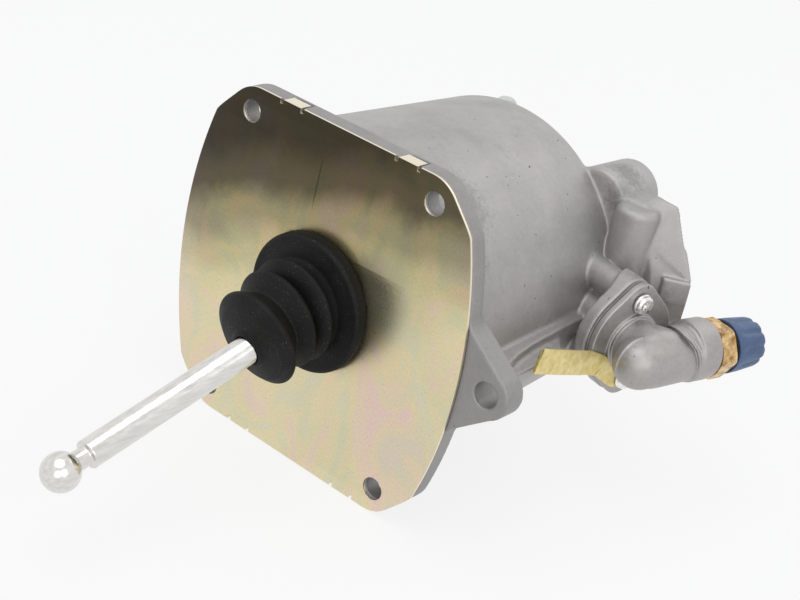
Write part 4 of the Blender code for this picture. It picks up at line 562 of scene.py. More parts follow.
def cut_openings(field, body):
    """The bores, the fixing holes, the bleed thread and the recesses behind the plate's tabs."""
    front, back, eased = 6.0, -20.0, 0.3
    body = carve(body, revolved(field, core_outline()), eased)
    bore = [(-131.0, FAR_SIDE), (-131.0, VALVE_BORE + 0.7), (-128.0, VALVE_BORE + 0.7),
            (-127.4, VALVE_BORE), (-104.0, VALVE_BORE), (-104.0, FAR_SIDE)]
    body = carve(body, revolved(field, bore, *VALVE), eased)
    for centre in HOLES:
        body = carve(body, bar_x(field, centre, HOLE_RADIUS, back, front), eased)
    body = carve(body, bar_x(field, EAR, EAR_HOLE, back, front), eased)
    body = carve(body, bar_z(field, BLEED, BLEED_THREAD, 28.0, 50.0), 0.4)
    half = TAB_HALF + 0.35
    for middle in TABS_Y:
        for side in (1, -1):
            low, high = sorted((side * (HALF_HEIGHT - 1.5), side * (HALF_HEIGHT + 5.8)))
            recess = [(middle - half, low), (middle + half, low), (middle + half, high),
                      (middle - half, high)]
            body = carve(body, prism_x(field, recess, TAB_REACH_X - 1.8, 4.0, 0.2), eased)
    return body


def make_casting():
    field = Field((-152.5, -68.5, -67.0), (1.0, 90.5, 67.0), CELL_CASTING)
    body = revolved(field, bell_outline())
    flange = prism_x(field, flange_outline(fine=5), FLANGE_BACK_X, FLANGE_FACE_X, 0.7)
    body = melt(body, flange, 3.0)
    ear = prism_x(field, ear_outline(), -11.0, FLANGE_FACE_X, 0.9)
    body = add_ribs(field, melt(body, ear, 2.2))
    close, u, out, up = near_port(field)
    pad = np.full(field.shape, 60.0, np.float32)
    pad[close] = port_pad(u, out, up)
    body = add_valve_block(field, melt(body, pad, 1.6))
    body = melt(body, bar_z(field, BLEED, BLEED_BOSS, 4.0, 40.0, 0.8), 3.0)
    body = np.maximum(body, field.x - FLANGE_FACE_X)
    body = cut_openings(field, body)
    passage_depth, thread_depth = 30.0, 16.0
    passage = np.maximum(np.hypot(u, up) - PORT_BORE, -out - passage_depth)
    body[close] = carve(body[close], passage, 0.3)
    for side in (1, -1):
        thread = np.hypot(u, up - side * HALF_PITCH) - SCREW_HOLE
        body[close] = carve(body[close], np.maximum(thread, -out - thread_depth), 0.3)
    return cast("servo_casting", field, body)


def make_elbow():
    """In its own axes: along the outlet, out of the port's face, and up."""
    field = Field((-18.6, -20.0, -24.5), (26.8, 12.8, 24.5), CELL_ELBOW)
    u, out, up = field.x, field.y, field.z
    flange_back, flange_front = -14.9, -12.3
    flat = outline_distance(lobed_outline(), field.axes[0][:, None],
                            field.axes[2][None, :] - OUTLET_DROP)[:, None, :]
    body = extruded(flat, out, flange_back, flange_front, 0.4)

    neck_radius, neck_back, neck_front, foot_out, foot_bead = 9.95, -15.4, 1.4, -11.6, 0.7
    radial = np.sqrt(u ** 2 + up ** 2)
    body = melt(body, extruded(radial - neck_radius, out, neck_back, neck_front, 2.0), 2.0)
    foot = np.hypot(radial - neck_radius - 0.65, out - foot_out) - foot_bead
    body = melt(body, foot, 0.6)

    tube_radius, tube_out, tube_drop, dome_u, tube_end = 9.45, 0.35, 0.6, -6.9, 12.0
    middle = np.clip(u, dome_u, tube_end)
    tube = np.sqrt((u - middle) ** 2 + (out - tube_out) ** 2 + (up + tube_drop) ** 2)
    inner_bend = 0.7 + 6.0 * np.clip((u + 9.0) / 8.0, 0.0, 1.0)
    body = melt(body, tube - tube_radius, inner_bend)

    collar_radius, collar_rise, collar_end = 10.55, 0.15, 21.3
    start = np.interp(up, [-4.4, -0.7, 2.8, 6.2, 8.4, 10.1], [14.6, 13.4, 12.8, 11.9, 10.4, 8.7])
    around = np.hypot(out, up - collar_rise)
    collar = extruded(around - collar_radius, u, start, collar_end, 0.45)
    crown_radius, crown_rise, crown_start, crown_end = 11.2, 1.2, 14.6, 23.8
    crown = extruded(np.hypot(out, up - crown_rise) - crown_radius, u, crown_start, crown_end, 0.8)
    body = melt(body, melt(collar, crown, 1.4), 0.5)
    mouth_radius, mouth_start, mouth_end = 10.0, 15.0, 25.0
    across = np.sqrt(out ** 2 + up ** 2)
    body = melt(body, extruded(across - mouth_radius, u, mouth_start, mouth_end, 0.5), 0.7)

    bead, lowest_bead = 0.5, -7.0
    for shift in (0.2, 1.9):
        ring = np.hypot(around - collar_radius + 0.2, u - start - shift) - bead
        body = melt(body, np.maximum(ring, lowest_bead - up), 0.35)
    seam_radius, seam_out, seam_end, seam_low = 9.35, -1.2, -4.0, -4.0
    seam = np.hypot(np.hypot(u - dome_u, up + tube_drop) - seam_radius, out - seam_out) - bead
    seam = np.maximum(seam, np.maximum(u - seam_end, seam_low - up))
    body = np.where(u < 2.0, melt(body, seam, 0.4), body)

    head_room, thread_front, socket_radius, socket_start = 4.25, -8.0, 8.9, 16.0
    for side in (1, -1):
        bolt = np.hypot(u, up - OUTLET_DROP - side * HALF_PITCH)
        body = carve(body, np.maximum(bolt - head_room, flange_front - out), 0.25)
        body = carve(body, np.maximum(bolt - SCREW_HOLE, out - thread_front), 0.25)
    inlet = np.maximum(np.maximum(radial - PORT_BORE, out), -20.0 - out)
    outlet = np.maximum(across - PORT_BORE, np.maximum(-4.0 - u, u - 30.0))
    for hollow in (inlet, outlet, np.maximum(across - socket_radius, socket_start - u)):
        body = carve(body, hollow, 0.3)

    def place(points):
        u, out, up = points.T
        return (np.outer(u, BACK) + np.outer(out, OUT) + np.outer(up, Z_AXIS)
                + np.array(CORNER)[None])
    return cast("elbow_casting", field, body, 110000, place)


# Cover plate with its bent tabs

def notched_outline():
    """The plate's outline with a relief notch on both sides of each tab."""
    outline = flange_outline()
    on_top = [p for p in outline if p[0] > 0 and p[1] > HALF_HEIGHT - 0.01]
    start = outline.index(min(on_top)) + 1
    ordered = outline[start:] + outline[:start]
    split = len(ordered) // 2
    gap, half_notch, depth, cut_corner = 0.8, 0.75, 1.7, (0.25, 0.4)
    result = []
    for part, side in ((ordered[:split], -1), (ordered[split:], 1)):
        result += part
        edge = side * HALF_HEIGHT
        floor, shelf = edge - side * depth, edge - side * (depth - cut_corner[1])
        for tab in sorted(TABS_Y, reverse=side > 0):
            for way in (side, -side):
                middle = tab + way * (TAB_HALF + gap)
                near, far = middle + side * half_notch, middle - side * half_notch
                slope = side * cut_corner[0]
                result += [(near, edge), (near, shelf), (near - slope, floor),
                           (far + slope, floor), (far, shelf), (far, edge)]
    return result


def make_plate():
    outlines = [notched_outline(), circle((0, 0), BOOT_OPENING, 128)]
    outlines += [circle(place, HOLE_RADIUS, 56) for place in HOLES]
    plate = slab("plate_sheet", outlines, Vector((-PLATE_THICKNESS, 0, 0)), Y_AXIS, Z_AXIS,
                 PLATE_THICKNESS, 0.16)
    inner_z = HALF_HEIGHT - PLATE_THICKNESS
    bend = [(-PLATE_THICKNESS + 1.15 * math.cos(t), inner_z + PLATE_THICKNESS * math.sin(t))
            for t in np.linspace(0, math.pi / 2, 9)]
    section = [(-0.05, inner_z - 1.0)] + bend + [
        (TAB_REACH_X, HALF_HEIGHT), (TAB_REACH_X, inner_z), (-PLATE_THICKNESS - 0.1, inner_z),
        (-PLATE_THICKNESS + 0.05, inner_z - 0.1), (-PLATE_THICKNESS + 0.05, inner_z - 1.0)]
    sheet = bmesh.new()
    for middle in TABS_Y:
        for side in (1, -1):
            loops = [[sheet.verts.new((x, middle + half, side * z)) for x, z in section]
                     for half in (-TAB_HALF, TAB_HALF)]
            sheet.faces.new(loops[0])
            sheet.faces.new(list(reversed(loops[1])))
            skin_loops(sheet, loops, False)
    return combine(plate, from_sheet("plate_tabs", sheet), "UNION")


# Dust boot: a base with the first fold, and the second fold with the cup

def boot_place(station):
    """The boot's middle line droops towards the rod; gives its place and tilt."""
    length, last_tilt, rod_at_cup = 30.0, math.radians(19.0), 41.0
    share = max(station, 0.0) / length
    drop = rod_at_cup * math.tan(ROD_TILT) * share ** 2.5
    return Vector((station, 0, -drop)), last_tilt * min(1.0, share * 1.15)


def make_boot_piece(name, profile, steps=160):
    sheet = bmesh.new()
    loops = []
    for station, radius in profile:
        centre, tilt = boot_place(station)
        upward = Vector((math.sin(tilt), 0, math.cos(tilt)))
        loops.append([sheet.verts.new(
            centre + Y_AXIS * (radius * math.cos(2 * math.pi * k / steps))
            + upward * (radius * math.sin(2 * math.pi * k / steps))) for k in range(steps)])
    skin_loops(sheet, loops, True)
    return from_sheet(name, sheet, 50.0)


def make_boot():
    """Each profile of (station, radius) runs along the outside and back along the inside."""
    base = softened([(0.3, 22.4), (0.3, 25.0), (0.9, 25.35), (1.7, 25.4), (1.95, 25.15),
                     (2.2, 25.4), (3.9, 25.35), (4.7, 24.5), (4.75, 22.0), (5.2, 17.0),
                     (7.0, 13.8), (9.3, 18.4), (10.0, 18.75), (10.7, 18.4), (13.5, 13.8)], 0.45)
    base += [(13.5, 12.1), (10.0, 16.4), (7.0, 12.1), (3.0, 18.1), (0.3, 19.8), (-3.1, 19.8),
             (-3.1, 22.4), (-1.5, 23.0), (-1.5, 21.2), (0.3, 21.2)]
    cup = softened([(13.2, 13.6), (13.9, 13.9), (16.1, 17.7), (16.8, 18.05), (17.5, 17.7),
                    (20.5, 13.2), (21.4, 13.6), (24.9, 17.5), (25.6, 17.85), (26.4, 17.6),
                    (28.0, 14.4), (28.9, 9.6), (29.3, 7.2), (30.0, 6.6), (30.0, 5.5)], 0.5)
    cup += [(28.6, 5.5), (27.4, 8.0), (26.0, 14.4), (20.5, 11.5), (16.8, 15.8), (13.2, 12.0)]
    return make_boot_piece("boot_base", base), make_boot_piece("boot_cup", cup)


# Pushrod

def make_rod():
    along = Vector((math.cos(ROD_TILT), 0, -math.sin(ROD_TILT)))
    ball, ball_at, inner_ball, shaft, neck, neck_length = 6.595, 121.7, 6.5, 5.0, 3.4, 4.5
    outer_cut = math.asin(neck / ball)
    inner = arc((0, 0), inner_ball, math.pi, math.asin(shaft / inner_ball), 24)
    outer = arc((ball_at, 0), ball, math.pi - outer_cut, 0, 30)
    shoulder = ball_at - ball * math.cos(outer_cut) - neck_length
    body = softened([inner[-1], (shoulder, shaft), (shoulder + 0.1, neck), outer[0]], 0.6)
    profile = [(inner[0][0], 0)] + inner[1:-1] + body + outer[1:-1] + [(outer[-1][0], 0)]
    return turned("rod_with_ball", profile, PIVOT, along, 128, smooth_angle=45)


# Screws, union, cap, seal, tag and gasket

def make_screw(name, side, lift):
    seat = PORT + Z_AXIS * (side * HALF_PITCH) + OUT * lift
    profile = softened([(-18, 0), (-18, 1.9), (-17, 2.4), (0, 2.4), (0, 3.85), (0.25, 3.9),
                        (0.75, 3.85), (0.95, 3.55), (2.1, 3.5), (2.7, 2.9), (2.7, 0)], 0.18, 3)
    screw = turned(name, profile, seat, OUT, 96)
    points, depth = 6, 0.16

    def lobes(angle, station, radius):
        return radius * (1 - depth * (0.5 + 0.5 * math.cos(points * angle)))
    socket = turned("socket", [(1.1, 0), (1.3, 1.7), (4.0, 2.15), (4.0, 0)], seat, OUT, 72, lobes)
    return combine(screw, socket)


def make_union():
    """Turned body and hexagon, which starts at the elbow's mouth."""
    face, length, nut_length, corner, pipe = 25.3, 19.7, 7.2, 11.25, 8.6
    back, end, nut_end = face - 9.0, face + length, face + nut_length

    def piece(name, profile, steps=96, smooth_angle=35.0):
        return turned(name, profile, CORNER, BACK, steps, smooth_angle=smooth_angle)
    body = piece("port_fitting", [(back, 4.8), (back, pipe - 0.4), (back + 0.4, pipe), (face, pipe),
                                  (end - 0.6, pipe), (end, pipe - 0.6), (end, 4.8)])
    nut = softened([(face, 0), (face, 11.2), (nut_end, 11.2), (nut_end, 0)], 0.05, 1)
    hexagon = piece("hexagon", nut, 6, 20)
    trim = [(face, 0), (face, 10.1), (face + 0.75, corner), (nut_end - 0.75, corner),
            (nut_end, 10.1), (nut_end, 0)]
    combine(hexagon, piece("trim", trim), "INTERSECT", 20)
    skirt = softened([(face - 0.05, 0), (face - 0.05, 10.2), (face + 0.9, 10.2),
                      (face + 1.0, 9.6), (face + 1.0, 0)], 0.2)
    combine(hexagon, piece("skirt", skirt), "UNION", 20)
    hole = [(face - 2, 0), (face - 2, 8.3), (face + 10, 8.3), (face + 10, 0)]
    combine(hexagon, piece("hole", hole), "DIFFERENCE", 20)
    return combine(body, hexagon, "UNION", 25)


def make_cap():
    start, end, mouth, flute_count, flute_depth = 34.1, 49.2, 8.9, 10, 0.62
    outer = softened([(start, mouth), (start, 10.1), (start + 0.5, 10.2), (start + 3.6, 10.2),
                      (end - 2.4, 9.45), (end - 0.5, 8.9), (end, 7.4), (end, 0)], 0.7, 6)
    profile = [(end - 2.0, 0), (end - 2.0, mouth)] + outer

    def flutes(angle, station, radius):
        if radius < 9.2 and station < end - 1.9:
            return radius
        wave = (0.5 - 0.5 * math.cos(flute_count * angle)) ** 3
        share = min(1.0, max(0.0, (station - start - 1.6) / 2.5)) * min(1.0, radius / 8.0)
        return radius - flute_depth * wave * share
    return turned("cap_cover", profile, CORNER, BACK, 240, flutes, 45)


def make_seal():
    profile = softened([(32.8, 8.95), (32.8, 9.9), (33.1, 10.0), (33.5, 10.0), (33.8, 9.9),
                        (33.8, 8.95)], 0.15)
    return turned("fitting_seal", profile, CORNER, BACK, 96)


def tag_line(count=40):
    """Places and half widths: a straight stretch, then round the lower screw."""
    half, fall = 4.7, math.tan(math.radians(17.5))
    lift = OUT * 0.7
    flat_start = PORT - BACK * 19.3 + lift
    free = Vector((-29.3, 75.9, 5.4))
    stations = []
    for step in range(count + 1):
        share = step / count
        place = free.lerp(flat_start, share)
        place.y += math.sin(math.pi * share) * 0.3
        place.z = free.z - fall * (free.x - place.x) - 0.1 * share ** 4
        stations.append((place, half))
    turns = [211, 222, 237, 248, 259, 270, 280, 288]
    reaches = [1.02, 0.98, 0.97, 0.98, 1.0, 1.0, 1.0, 1.0]
    widths = [0.90, 0.72, 0.72, 0.77, 0.81, 0.81, 0.81, 0.55]
    for degrees in np.arange(212, 288.1, 4.0):
        radius = HALF_PITCH * float(np.interp(degrees, turns, reaches))
        angle = math.radians(degrees)
        place = PORT + lift + BACK * (radius * math.cos(angle))
        place.z += radius * math.sin(angle)
        stations.append((place, half * float(np.interp(degrees, turns, widths))))
    return stations


def make_tag():
    stations = tag_line()
    end_slant, thick, edge_thick, edge = 2.2, 0.4, 0.3, 0.12
    sheet = bmesh.new()
    loops = []
    for index, (place, half) in enumerate(stations):
        before = stations[max(index - 1, 0)][0]
        after = stations[min(index + 1, len(stations) - 1)][0]
        along = (after - before).normalized()
        flat = Vector((along.x, along.y, 0)).normalized()
        outward = Vector((-flat.y, flat.x, 0))
        outward = outward if outward.y > 0 else -outward
        across = along.cross(outward).normalized()
        across = across if across.z > 0 else -across
        slant = Vector((end_slant, 0, 0)) if index == 0 else Vector((0, 0, 0))
        front = [(half, edge_thick), (half - edge, thick), (-half + edge, thick),
                 (-half, edge_thick)]
        section = front + [(w, -d) for w, d in reversed(front)]
        loops.append([sheet.verts.new(place + across * w + outward * d
                                      + slant * (-0.5 + w / (2 * half))) for w, d in section])
    skin_loops(sheet, loops, False)
    sheet.faces.new(loops[0])
    sheet.faces.new(list(reversed(loops[-1])))
    return from_sheet("tag_strip", sheet, 30)


def make_gasket():
    outlines = [lobed_outline(-0.3), circle((0, 0), 7.0)]
    outlines += [circle((0, side * HALF_PITCH), SCREW_HOLE, 32) for side in (1, -1)]
    return slab("port_gasket", outlines, PAD + OUT * 0.3, BACK, Z_AXIS, 0.8, 0.05)


# Materials

class Surface:
    """A procedural material in object space, in millimetres."""

    def __init__(self, name, roughness=0.5, metallic=0.0, **sockets):
        self.material = bpy.data.materials.new(name)
        self.material.use_nodes = True
        self.nodes = self.material.node_tree.nodes
        self.links = self.material.node_tree.links
        self.shader = self.nodes["Principled BSDF"]
        self.shader.inputs["Roughness"].default_value = roughness
        self.shader.inputs["Metallic"].default_value = metallic
        for socket, value in sockets.items():
            self.shader.inputs[socket.replace("_", " ")].default_value = value
        coordinates = self.nodes.new("ShaderNodeTexCoord")
        scale = self.nodes.new("ShaderNodeMapping")
        scale.inputs["Scale"].default_value = (1000, 1000, 1000)
        self.links.new(coordinates.outputs["Object"], scale.inputs["Vector"])
        self.place = scale.outputs["Vector"]

    def feed(self, value, socket):
        if isinstance(value, (int, float)):
            socket.default_value = value
        elif isinstance(value, tuple):
            socket.default_value = (*value, 1.0) if len(value) == 3 else value
        else:
            self.links.new(value, socket)

    def stretched(self, scale=(1, 1, 1), shift=(0, 0, 0)):
        mapping = self.nodes.new("ShaderNodeMapping")
        mapping.inputs["Scale"].default_value = scale
        mapping.inputs["Location"].default_value = shift
        self.links.new(self.place, mapping.inputs["Vector"])
        return mapping.outputs["Vector"]

    def noise(self, scale, detail=3.0, roughness=0.5, distortion=0.0, place=None):
        node = self.nodes.new("ShaderNodeTexNoise")
        self.feed(self.place if place is None else place, node.inputs["Vector"])
        for key, value in (("Scale", scale), ("Detail", detail), ("Roughness", roughness),
                           ("Distortion", distortion)):
            node.inputs[key].default_value = value
        return node.outputs["Fac"]

    def ramp(self, factor, stops):
        """Colours or grey levels at places from 0 to 1."""
        node = self.nodes.new("ShaderNodeValToRGB")
        elements = node.color_ramp.elements
        while len(elements) < len(stops):
            elements.new(0.5)
        for element, (position, colour) in zip(elements, stops):
            element.position = position
            if isinstance(colour, (int, float)):
                colour = (colour, colour, colour)
            element.color = (*colour, 1.0)
        self.feed(factor, node.inputs["Fac"])
        return node.outputs["Color"]

    def math(self, operation, a, b=0.0, c=0.0):
        node = self.nodes.new("ShaderNodeMath")
        node.operation = operation
        for value, socket in zip((a, b, c), node.inputs):
            self.feed(value, socket)
        return node.outputs["Value"]

    def span(self, value, low, high, to_low=0.0, to_high=1.0):
        node = self.nodes.new("ShaderNodeMapRange")
        for key, number in (("From Min", low), ("From Max", high), ("To Min", to_low),
                            ("To Max", to_high)):
            node.inputs[key].default_value = number
        self.feed(value, node.inputs["Value"])
        return node.outputs["Result"]

    def mix(self, factor, a, b, kind="MIX"):
        node = self.nodes.new("ShaderNodeMix")
        node.data_type = "RGBA"
        node.blend_type = kind
        self.feed(factor, node.inputs["Factor"])
        colours = [s for s in node.inputs if s.type == "RGBA"]
        self.feed(a, colours[0])
        self.feed(b, colours[1])
        return [s for s in node.outputs if s.type == "RGBA"][0]

    def axis(self, index):
        node = self.nodes.new("ShaderNodeSeparateXYZ")
        self.links.new(self.place, node.inputs["Vector"])
        return node.outputs[index]

    def colour(self, value):
        self.feed(value, self.shader.inputs["Base Color"])

    def rough(self, value):
        self.feed(value, self.shader.inputs["Roughness"])

    def bump(self, *layers):
        """Layers are (height, strength, distance in mm)."""
        normal = None
        for height, strength, distance in layers:
            node = self.nodes.new("ShaderNodeBump")
            node.inputs["Strength"].default_value = strength
            node.inputs["Distance"].default_value = distance * MM
            self.feed(height, node.inputs["Height"])
            if normal is not None:
                self.links.new(normal, node.inputs["Normal"])
            normal = node.outputs["Normal"]
        self.links.new(normal, self.shader.inputs["Normal"])


def cast_metal(name, dark, light, roughness, grain=1.0, metallic=0.75, marks=()):
    """Cast skin; marks are (x, y, z, reach, depth of tone) of darker patches, in mm, some of them
    painted shade.
    """
    s = Surface(name, roughness, metallic)
    patches = s.noise(0.05, 4, 0.6, 0.4)
    mottle = s.noise(0.6, 4, 0.68)
    fine = s.noise(2.8 * grain, 3, 0.72)
    tone = s.math("ADD", s.math("MULTIPLY", patches, 0.36), s.math("MULTIPLY", mottle, 0.34))
    tone = s.math("ADD", tone, s.math("MULTIPLY", fine, 0.30))
    colour = s.ramp(tone, [(0.38, dark), (0.60, light)])
    pits = s.span(s.noise(0.55, 2, 0.5, 0.0, s.stretched(shift=(7, 3, 11))), 0.735, 0.76)
    stain = s.span(s.noise(0.09, 5, 0.7, 0.8, s.stretched(shift=(31, 17, 5))), 0.58, 0.80)
    colour = s.mix(s.math("MULTIPLY", stain, 0.22), colour, tuple(c * 0.6 for c in dark))
    colour = s.mix(s.math("MULTIPLY", pits, 0.75), colour, (0.07, 0.065, 0.06))
    scuffs = s.noise(0.42, 3, 0.75, 0.6, s.stretched((0.35, 1.6, 1.6), (3, 41, 12)))
    scratch = s.span(s.math("ABSOLUTE", s.math("ADD", scuffs, -0.5)), 0.004, 0.0)
    scratch = s.math("MULTIPLY", scratch, s.span(s.noise(0.07, 2), 0.60, 0.68))
    colour = s.mix(s.math("MULTIPLY", scratch, 0.45), colour, (0.12, 0.11, 0.10))
    dark_patches = None
    # Darker patches round the marks; the one under the rib is painted shade.
    for x, y, z, reach, share in marks:
        node = s.nodes.new("ShaderNodeVectorMath")
        node.operation = "DISTANCE"
        s.links.new(s.place, node.inputs[0])
        node.inputs[1].default_value = (x, y, z)
        near = s.span(s.math("ADD", node.outputs["Value"],
                             s.math("MULTIPLY", s.math("ADD", mottle, -0.5), reach * 1.6)),
                      reach, reach * 0.35, 0.0, share)
        dark_patches = near if dark_patches is None else s.math("MAXIMUM", dark_patches, near)
    if marks:
        front = s.span(s.axis(0), -15.0, -10.5, 0.0, 0.42)
        dark_patches = s.math("MAXIMUM", dark_patches, front)
        peppered = s.math("MULTIPLY", dark_patches, s.span(fine, 0.36, 0.58, 0.35, 1.0))
        colour = s.mix(peppered, colour, tuple(c * 0.36 for c in dark))
    s.colour(colour)
    s.rough(s.span(mottle, 0.3, 0.7, roughness - 0.06, roughness + 0.08))
    s.bump((mottle, 0.20, 0.4), (fine, 0.34 / grain, 0.12), (pits, 0.6, -0.3),
           (scratch, 0.3, -0.1))
    return s.material


def plate_metal():
    s = Surface("passivated_sheet", 0.3, 0.95)
    depth, sideways, upright = s.axis(0), s.axis(1), s.axis(2)
    wide = s.noise(0.019, 3, 0.5, 0.7, s.stretched((1, 1, 0.8), (3, 9, 1)))
    clouds = s.noise(0.033, 4, 0.6, 1.4, s.stretched((1, 1.3, 0.8), (13, 2, 8)))
    pale = s.ramp(wide, [(0.34, (0.80, 0.66, 0.55)), (0.44, (0.82, 0.72, 0.44)),
                         (0.52, (0.80, 0.74, 0.50)), (0.60, (0.72, 0.70, 0.46)),
                         (0.70, (0.78, 0.64, 0.54))])
    pearly = s.ramp(clouds, [(0.36, (0.86, 0.66, 0.58)), (0.46, (0.85, 0.75, 0.42)),
                             (0.56, (0.70, 0.73, 0.50)), (0.68, (0.80, 0.70, 0.62))])
    colour = s.mix(0.55, pale, pearly)
    edge = s.span(s.math("ADD", sideways, s.math("MULTIPLY", clouds, 14.0)), -44.0, -62.0)
    colour = s.mix(s.math("MULTIPLY", edge, 0.55), colour, (0.82, 0.68, 0.64))
    # Painted reflection and tint: the sheet darkens towards its top, partly its own passivation tint
    # and partly a painted reflection of dark surroundings above it.
    height = s.math("ADD", upright, s.math("MULTIPLY", sideways, -0.33))
    height = s.math("ADD", height, s.math("MULTIPLY", wide, 26.0))
    height = s.math("ADD", height, s.math("MULTIPLY", clouds, 10.0))
    tint_and_painted_reflection = s.ramp(s.span(height, 0.0, 100.0), [
        (0.10, (0.90, 0.87, 0.90)), (0.22, (0.86, 0.83, 0.80)), (0.34, (0.69, 0.66, 0.59)),
        (0.48, (0.41, 0.39, 0.34)), (0.62, (0.135, 0.122, 0.108)), (0.80, (0.058, 0.052, 0.050))])
    tint_and_painted_reflection.node.color_ramp.interpolation = "EASE"
    colour = s.mix(1.0, colour, tint_and_painted_reflection, "MULTIPLY")
    speck = s.noise(1.7, 2, 0.65, 0.0, s.stretched((1, 1.5, 0.5)))
    colour = s.mix(s.span(speck, 0.50, 0.80, 0.0, 0.42), colour, (0.95, 0.88, 0.72), "SOFT_LIGHT")
    colour = s.mix(s.span(speck, 0.46, 0.22, 0.0, 0.30), colour, (0.12, 0.10, 0.07))
    drag = s.math("ABSOLUTE", s.math("ADD", s.math("ADD", sideways, 6.9),
                                     s.math("MULTIPLY", s.math("ADD", upright, -44.0), -0.05)))
    drag = s.math("MULTIPLY", s.span(drag, 0.45, 0.1),
                  s.math("MULTIPLY", s.span(upright, 32.0, 36.0), s.span(upright, 52.0, 48.0)))
    colour = s.mix(s.math("MULTIPLY", drag, 0.65), colour, (0.03, 0.026, 0.02))
    # Painted highlight: everything behind the front skin (bevelled edges, bent tabs, walls of the
    # holes) is painted pale cream, as if catching the light.
    painted_edge_highlight = s.span(depth, -0.10, -0.25)
    colour = s.mix(painted_edge_highlight, colour, (0.80, 0.73, 0.60))
    s.colour(colour)
    s.rough(s.span(speck, 0.3, 0.7, 0.27, 0.40))
    s.bump((speck, 0.10, 0.05), (s.noise(0.25, 2), 0.04, 0.4))
    return s.material


def rubber(name="black_rubber_boot", tone=0.0050, dust=1.0):
    s = Surface(name, 0.55, 0.0, Specular_IOR_Level=0.20)
    wide = s.noise(0.08, 4, 0.6)
    fine = s.noise(1.6, 3, 0.6)
    colour = s.ramp(wide, [(0.35, (tone, tone * 0.97, tone * 0.95)),
                           (0.7, (tone * 2.1, tone * 2.0, tone * 1.95))])
    grains = s.span(s.noise(2.6, 1, 0.5, 0.0, s.stretched(shift=(5, 5, 5))), 0.69, 0.76)
    grains = s.math("MULTIPLY", grains, s.span(s.noise(0.16, 3, 0.6), 0.42, 0.60, 0.25, 1.0))
    colour = s.mix(s.math("MULTIPLY", grains, 0.40 * dust), colour, (0.36, 0.35, 0.33))
    s.colour(colour)
    s.rough(s.span(fine, 0.3, 0.7, 0.50, 0.68))
    s.bump((fine, 0.14, 0.12), (s.noise(0.3, 2), 0.1, 0.5))
    return s.material


def zinc(name, tint=(0.80, 0.79, 0.77), roughness=0.2, along=(1, 1, 1), relief=1.0):
    s = Surface(name, roughness, 1.0)
    streak = s.noise(0.9, 3, 0.6, 0.0, s.stretched(along))
    fine = s.noise(3.0, 2, 0.6)
    colour = s.ramp(streak, [(0.3, tuple(c * 0.82 for c in tint)), (0.65, tint)])
    s.colour(colour)
    s.rough(s.span(streak, 0.3, 0.7, roughness - 0.05, roughness + 0.09))
    s.bump((streak, 0.05 * relief, 0.15), (fine, 0.06 * relief, 0.05))
    return s.material


def brass():
    s = Surface("turned_brass", 0.28, 1.0)
    stain = s.noise(0.35, 4, 0.6, 0.3)
    fine = s.noise(2.5, 2, 0.6)
    s.colour(s.ramp(stain, [(0.34, (0.30, 0.17, 0.07)), (0.50, (0.56, 0.37, 0.17)),
                            (0.68, (0.80, 0.60, 0.32))]))
    s.rough(s.span(stain, 0.3, 0.7, 0.38, 0.22))
    s.bump((fine, 0.08, 0.06), (stain, 0.08, 0.2))
    return s.material


def plastic(name, dark, light, roughness=0.42):
    s = Surface(name, roughness, 0.0, Specular_IOR_Level=0.5)
    cloud = s.noise(0.22, 4, 0.6, 0.4)
    fine = s.noise(2.0, 2, 0.6)
    s.colour(s.ramp(cloud, [(0.3, dark), (0.7, light)]))
    s.rough(s.span(fine, 0.3, 0.7, roughness - 0.05, roughness + 0.1))
    s.bump((fine, 0.1, 0.08), (cloud, 0.12, 0.4))
    return s.material


def tag_metal():
    s = Surface("yellow_strip", 0.38, 0.45)
    cloud = s.noise(0.3, 4, 0.65, 0.3)
    fine = s.noise(2.6, 2, 0.6)
    colour = s.ramp(cloud, [(0.3, (0.62, 0.49, 0.16)), (0.5, (0.76, 0.62, 0.25)),
                            (0.72, (0.86, 0.74, 0.38))])
    colour = s.mix(s.span(fine, 0.58, 0.75, 0.0, 0.3), colour, (0.40, 0.28, 0.08))
    s.colour(colour)
    s.rough(s.span(cloud, 0.3, 0.7, 0.44, 0.32))
    s.bump((fine, 0.12, 0.06), (cloud, 0.15, 0.3))
    return s.material


slots = {row["node"]: row["material_slot"] for row in frame["record"]["subparts"]}


def paint(thing, surface, node, body="housing"):
    """Gives a piece its material and its body unless it is blended, and hides the node it replaces."""
    thing.data.materials.clear()
    thing.data.materials.append(surface)
    if body:
        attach(thing, body)
    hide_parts(node)


# Darker patches on the casting: the one under the rib, at (-60, 59, -8), is painted shade beneath the
# rib; the others darken the bell behind the flange, the valve block, the port pad and the lug.
dark_skin_and_shade_patches = [(-22, 38, 49, 15, 0.55), (-14, 52, 36, 11, 0.55), (-112, 46, 45, 9, 0.6),
                 (-104, 50, 40, 7, 0.5), (-60, 59, -8, 14, 0.3), (-88, 78, 22, 7, 0.35),
                 (-104, 76, 12, 6, 0.3)]
casting_metal = cast_metal("sand_cast_aluminium", (0.36, 0.35, 0.345), (0.47, 0.455, 0.45), 0.55,
                           marks=dark_skin_and_shade_patches)
elbow_metal = cast_metal("die_cast_grey", (0.34, 0.325, 0.315), (0.45, 0.43, 0.42), 0.44, 1.4)
boot_rubber = rubber()
sheet_metal = plate_metal()
bright = zinc("zinc_plate", (0.74, 0.73, 0.70), 0.17, (0.10, 0.9, 0.9), 0.35)
screw_zinc = zinc("zinc_screw", (0.86, 0.86, 0.84), 0.16)
turned_brass = brass()
seal_rubber = rubber("seal_rubber", 0.008, 0.2)
fibre = plastic("fibre_gasket", (0.20, 0.19, 0.18), (0.32, 0.31, 0.30), 0.8)
blue = plastic("blue_cap", (0.045, 0.088, 0.19), (0.072, 0.128, 0.25))

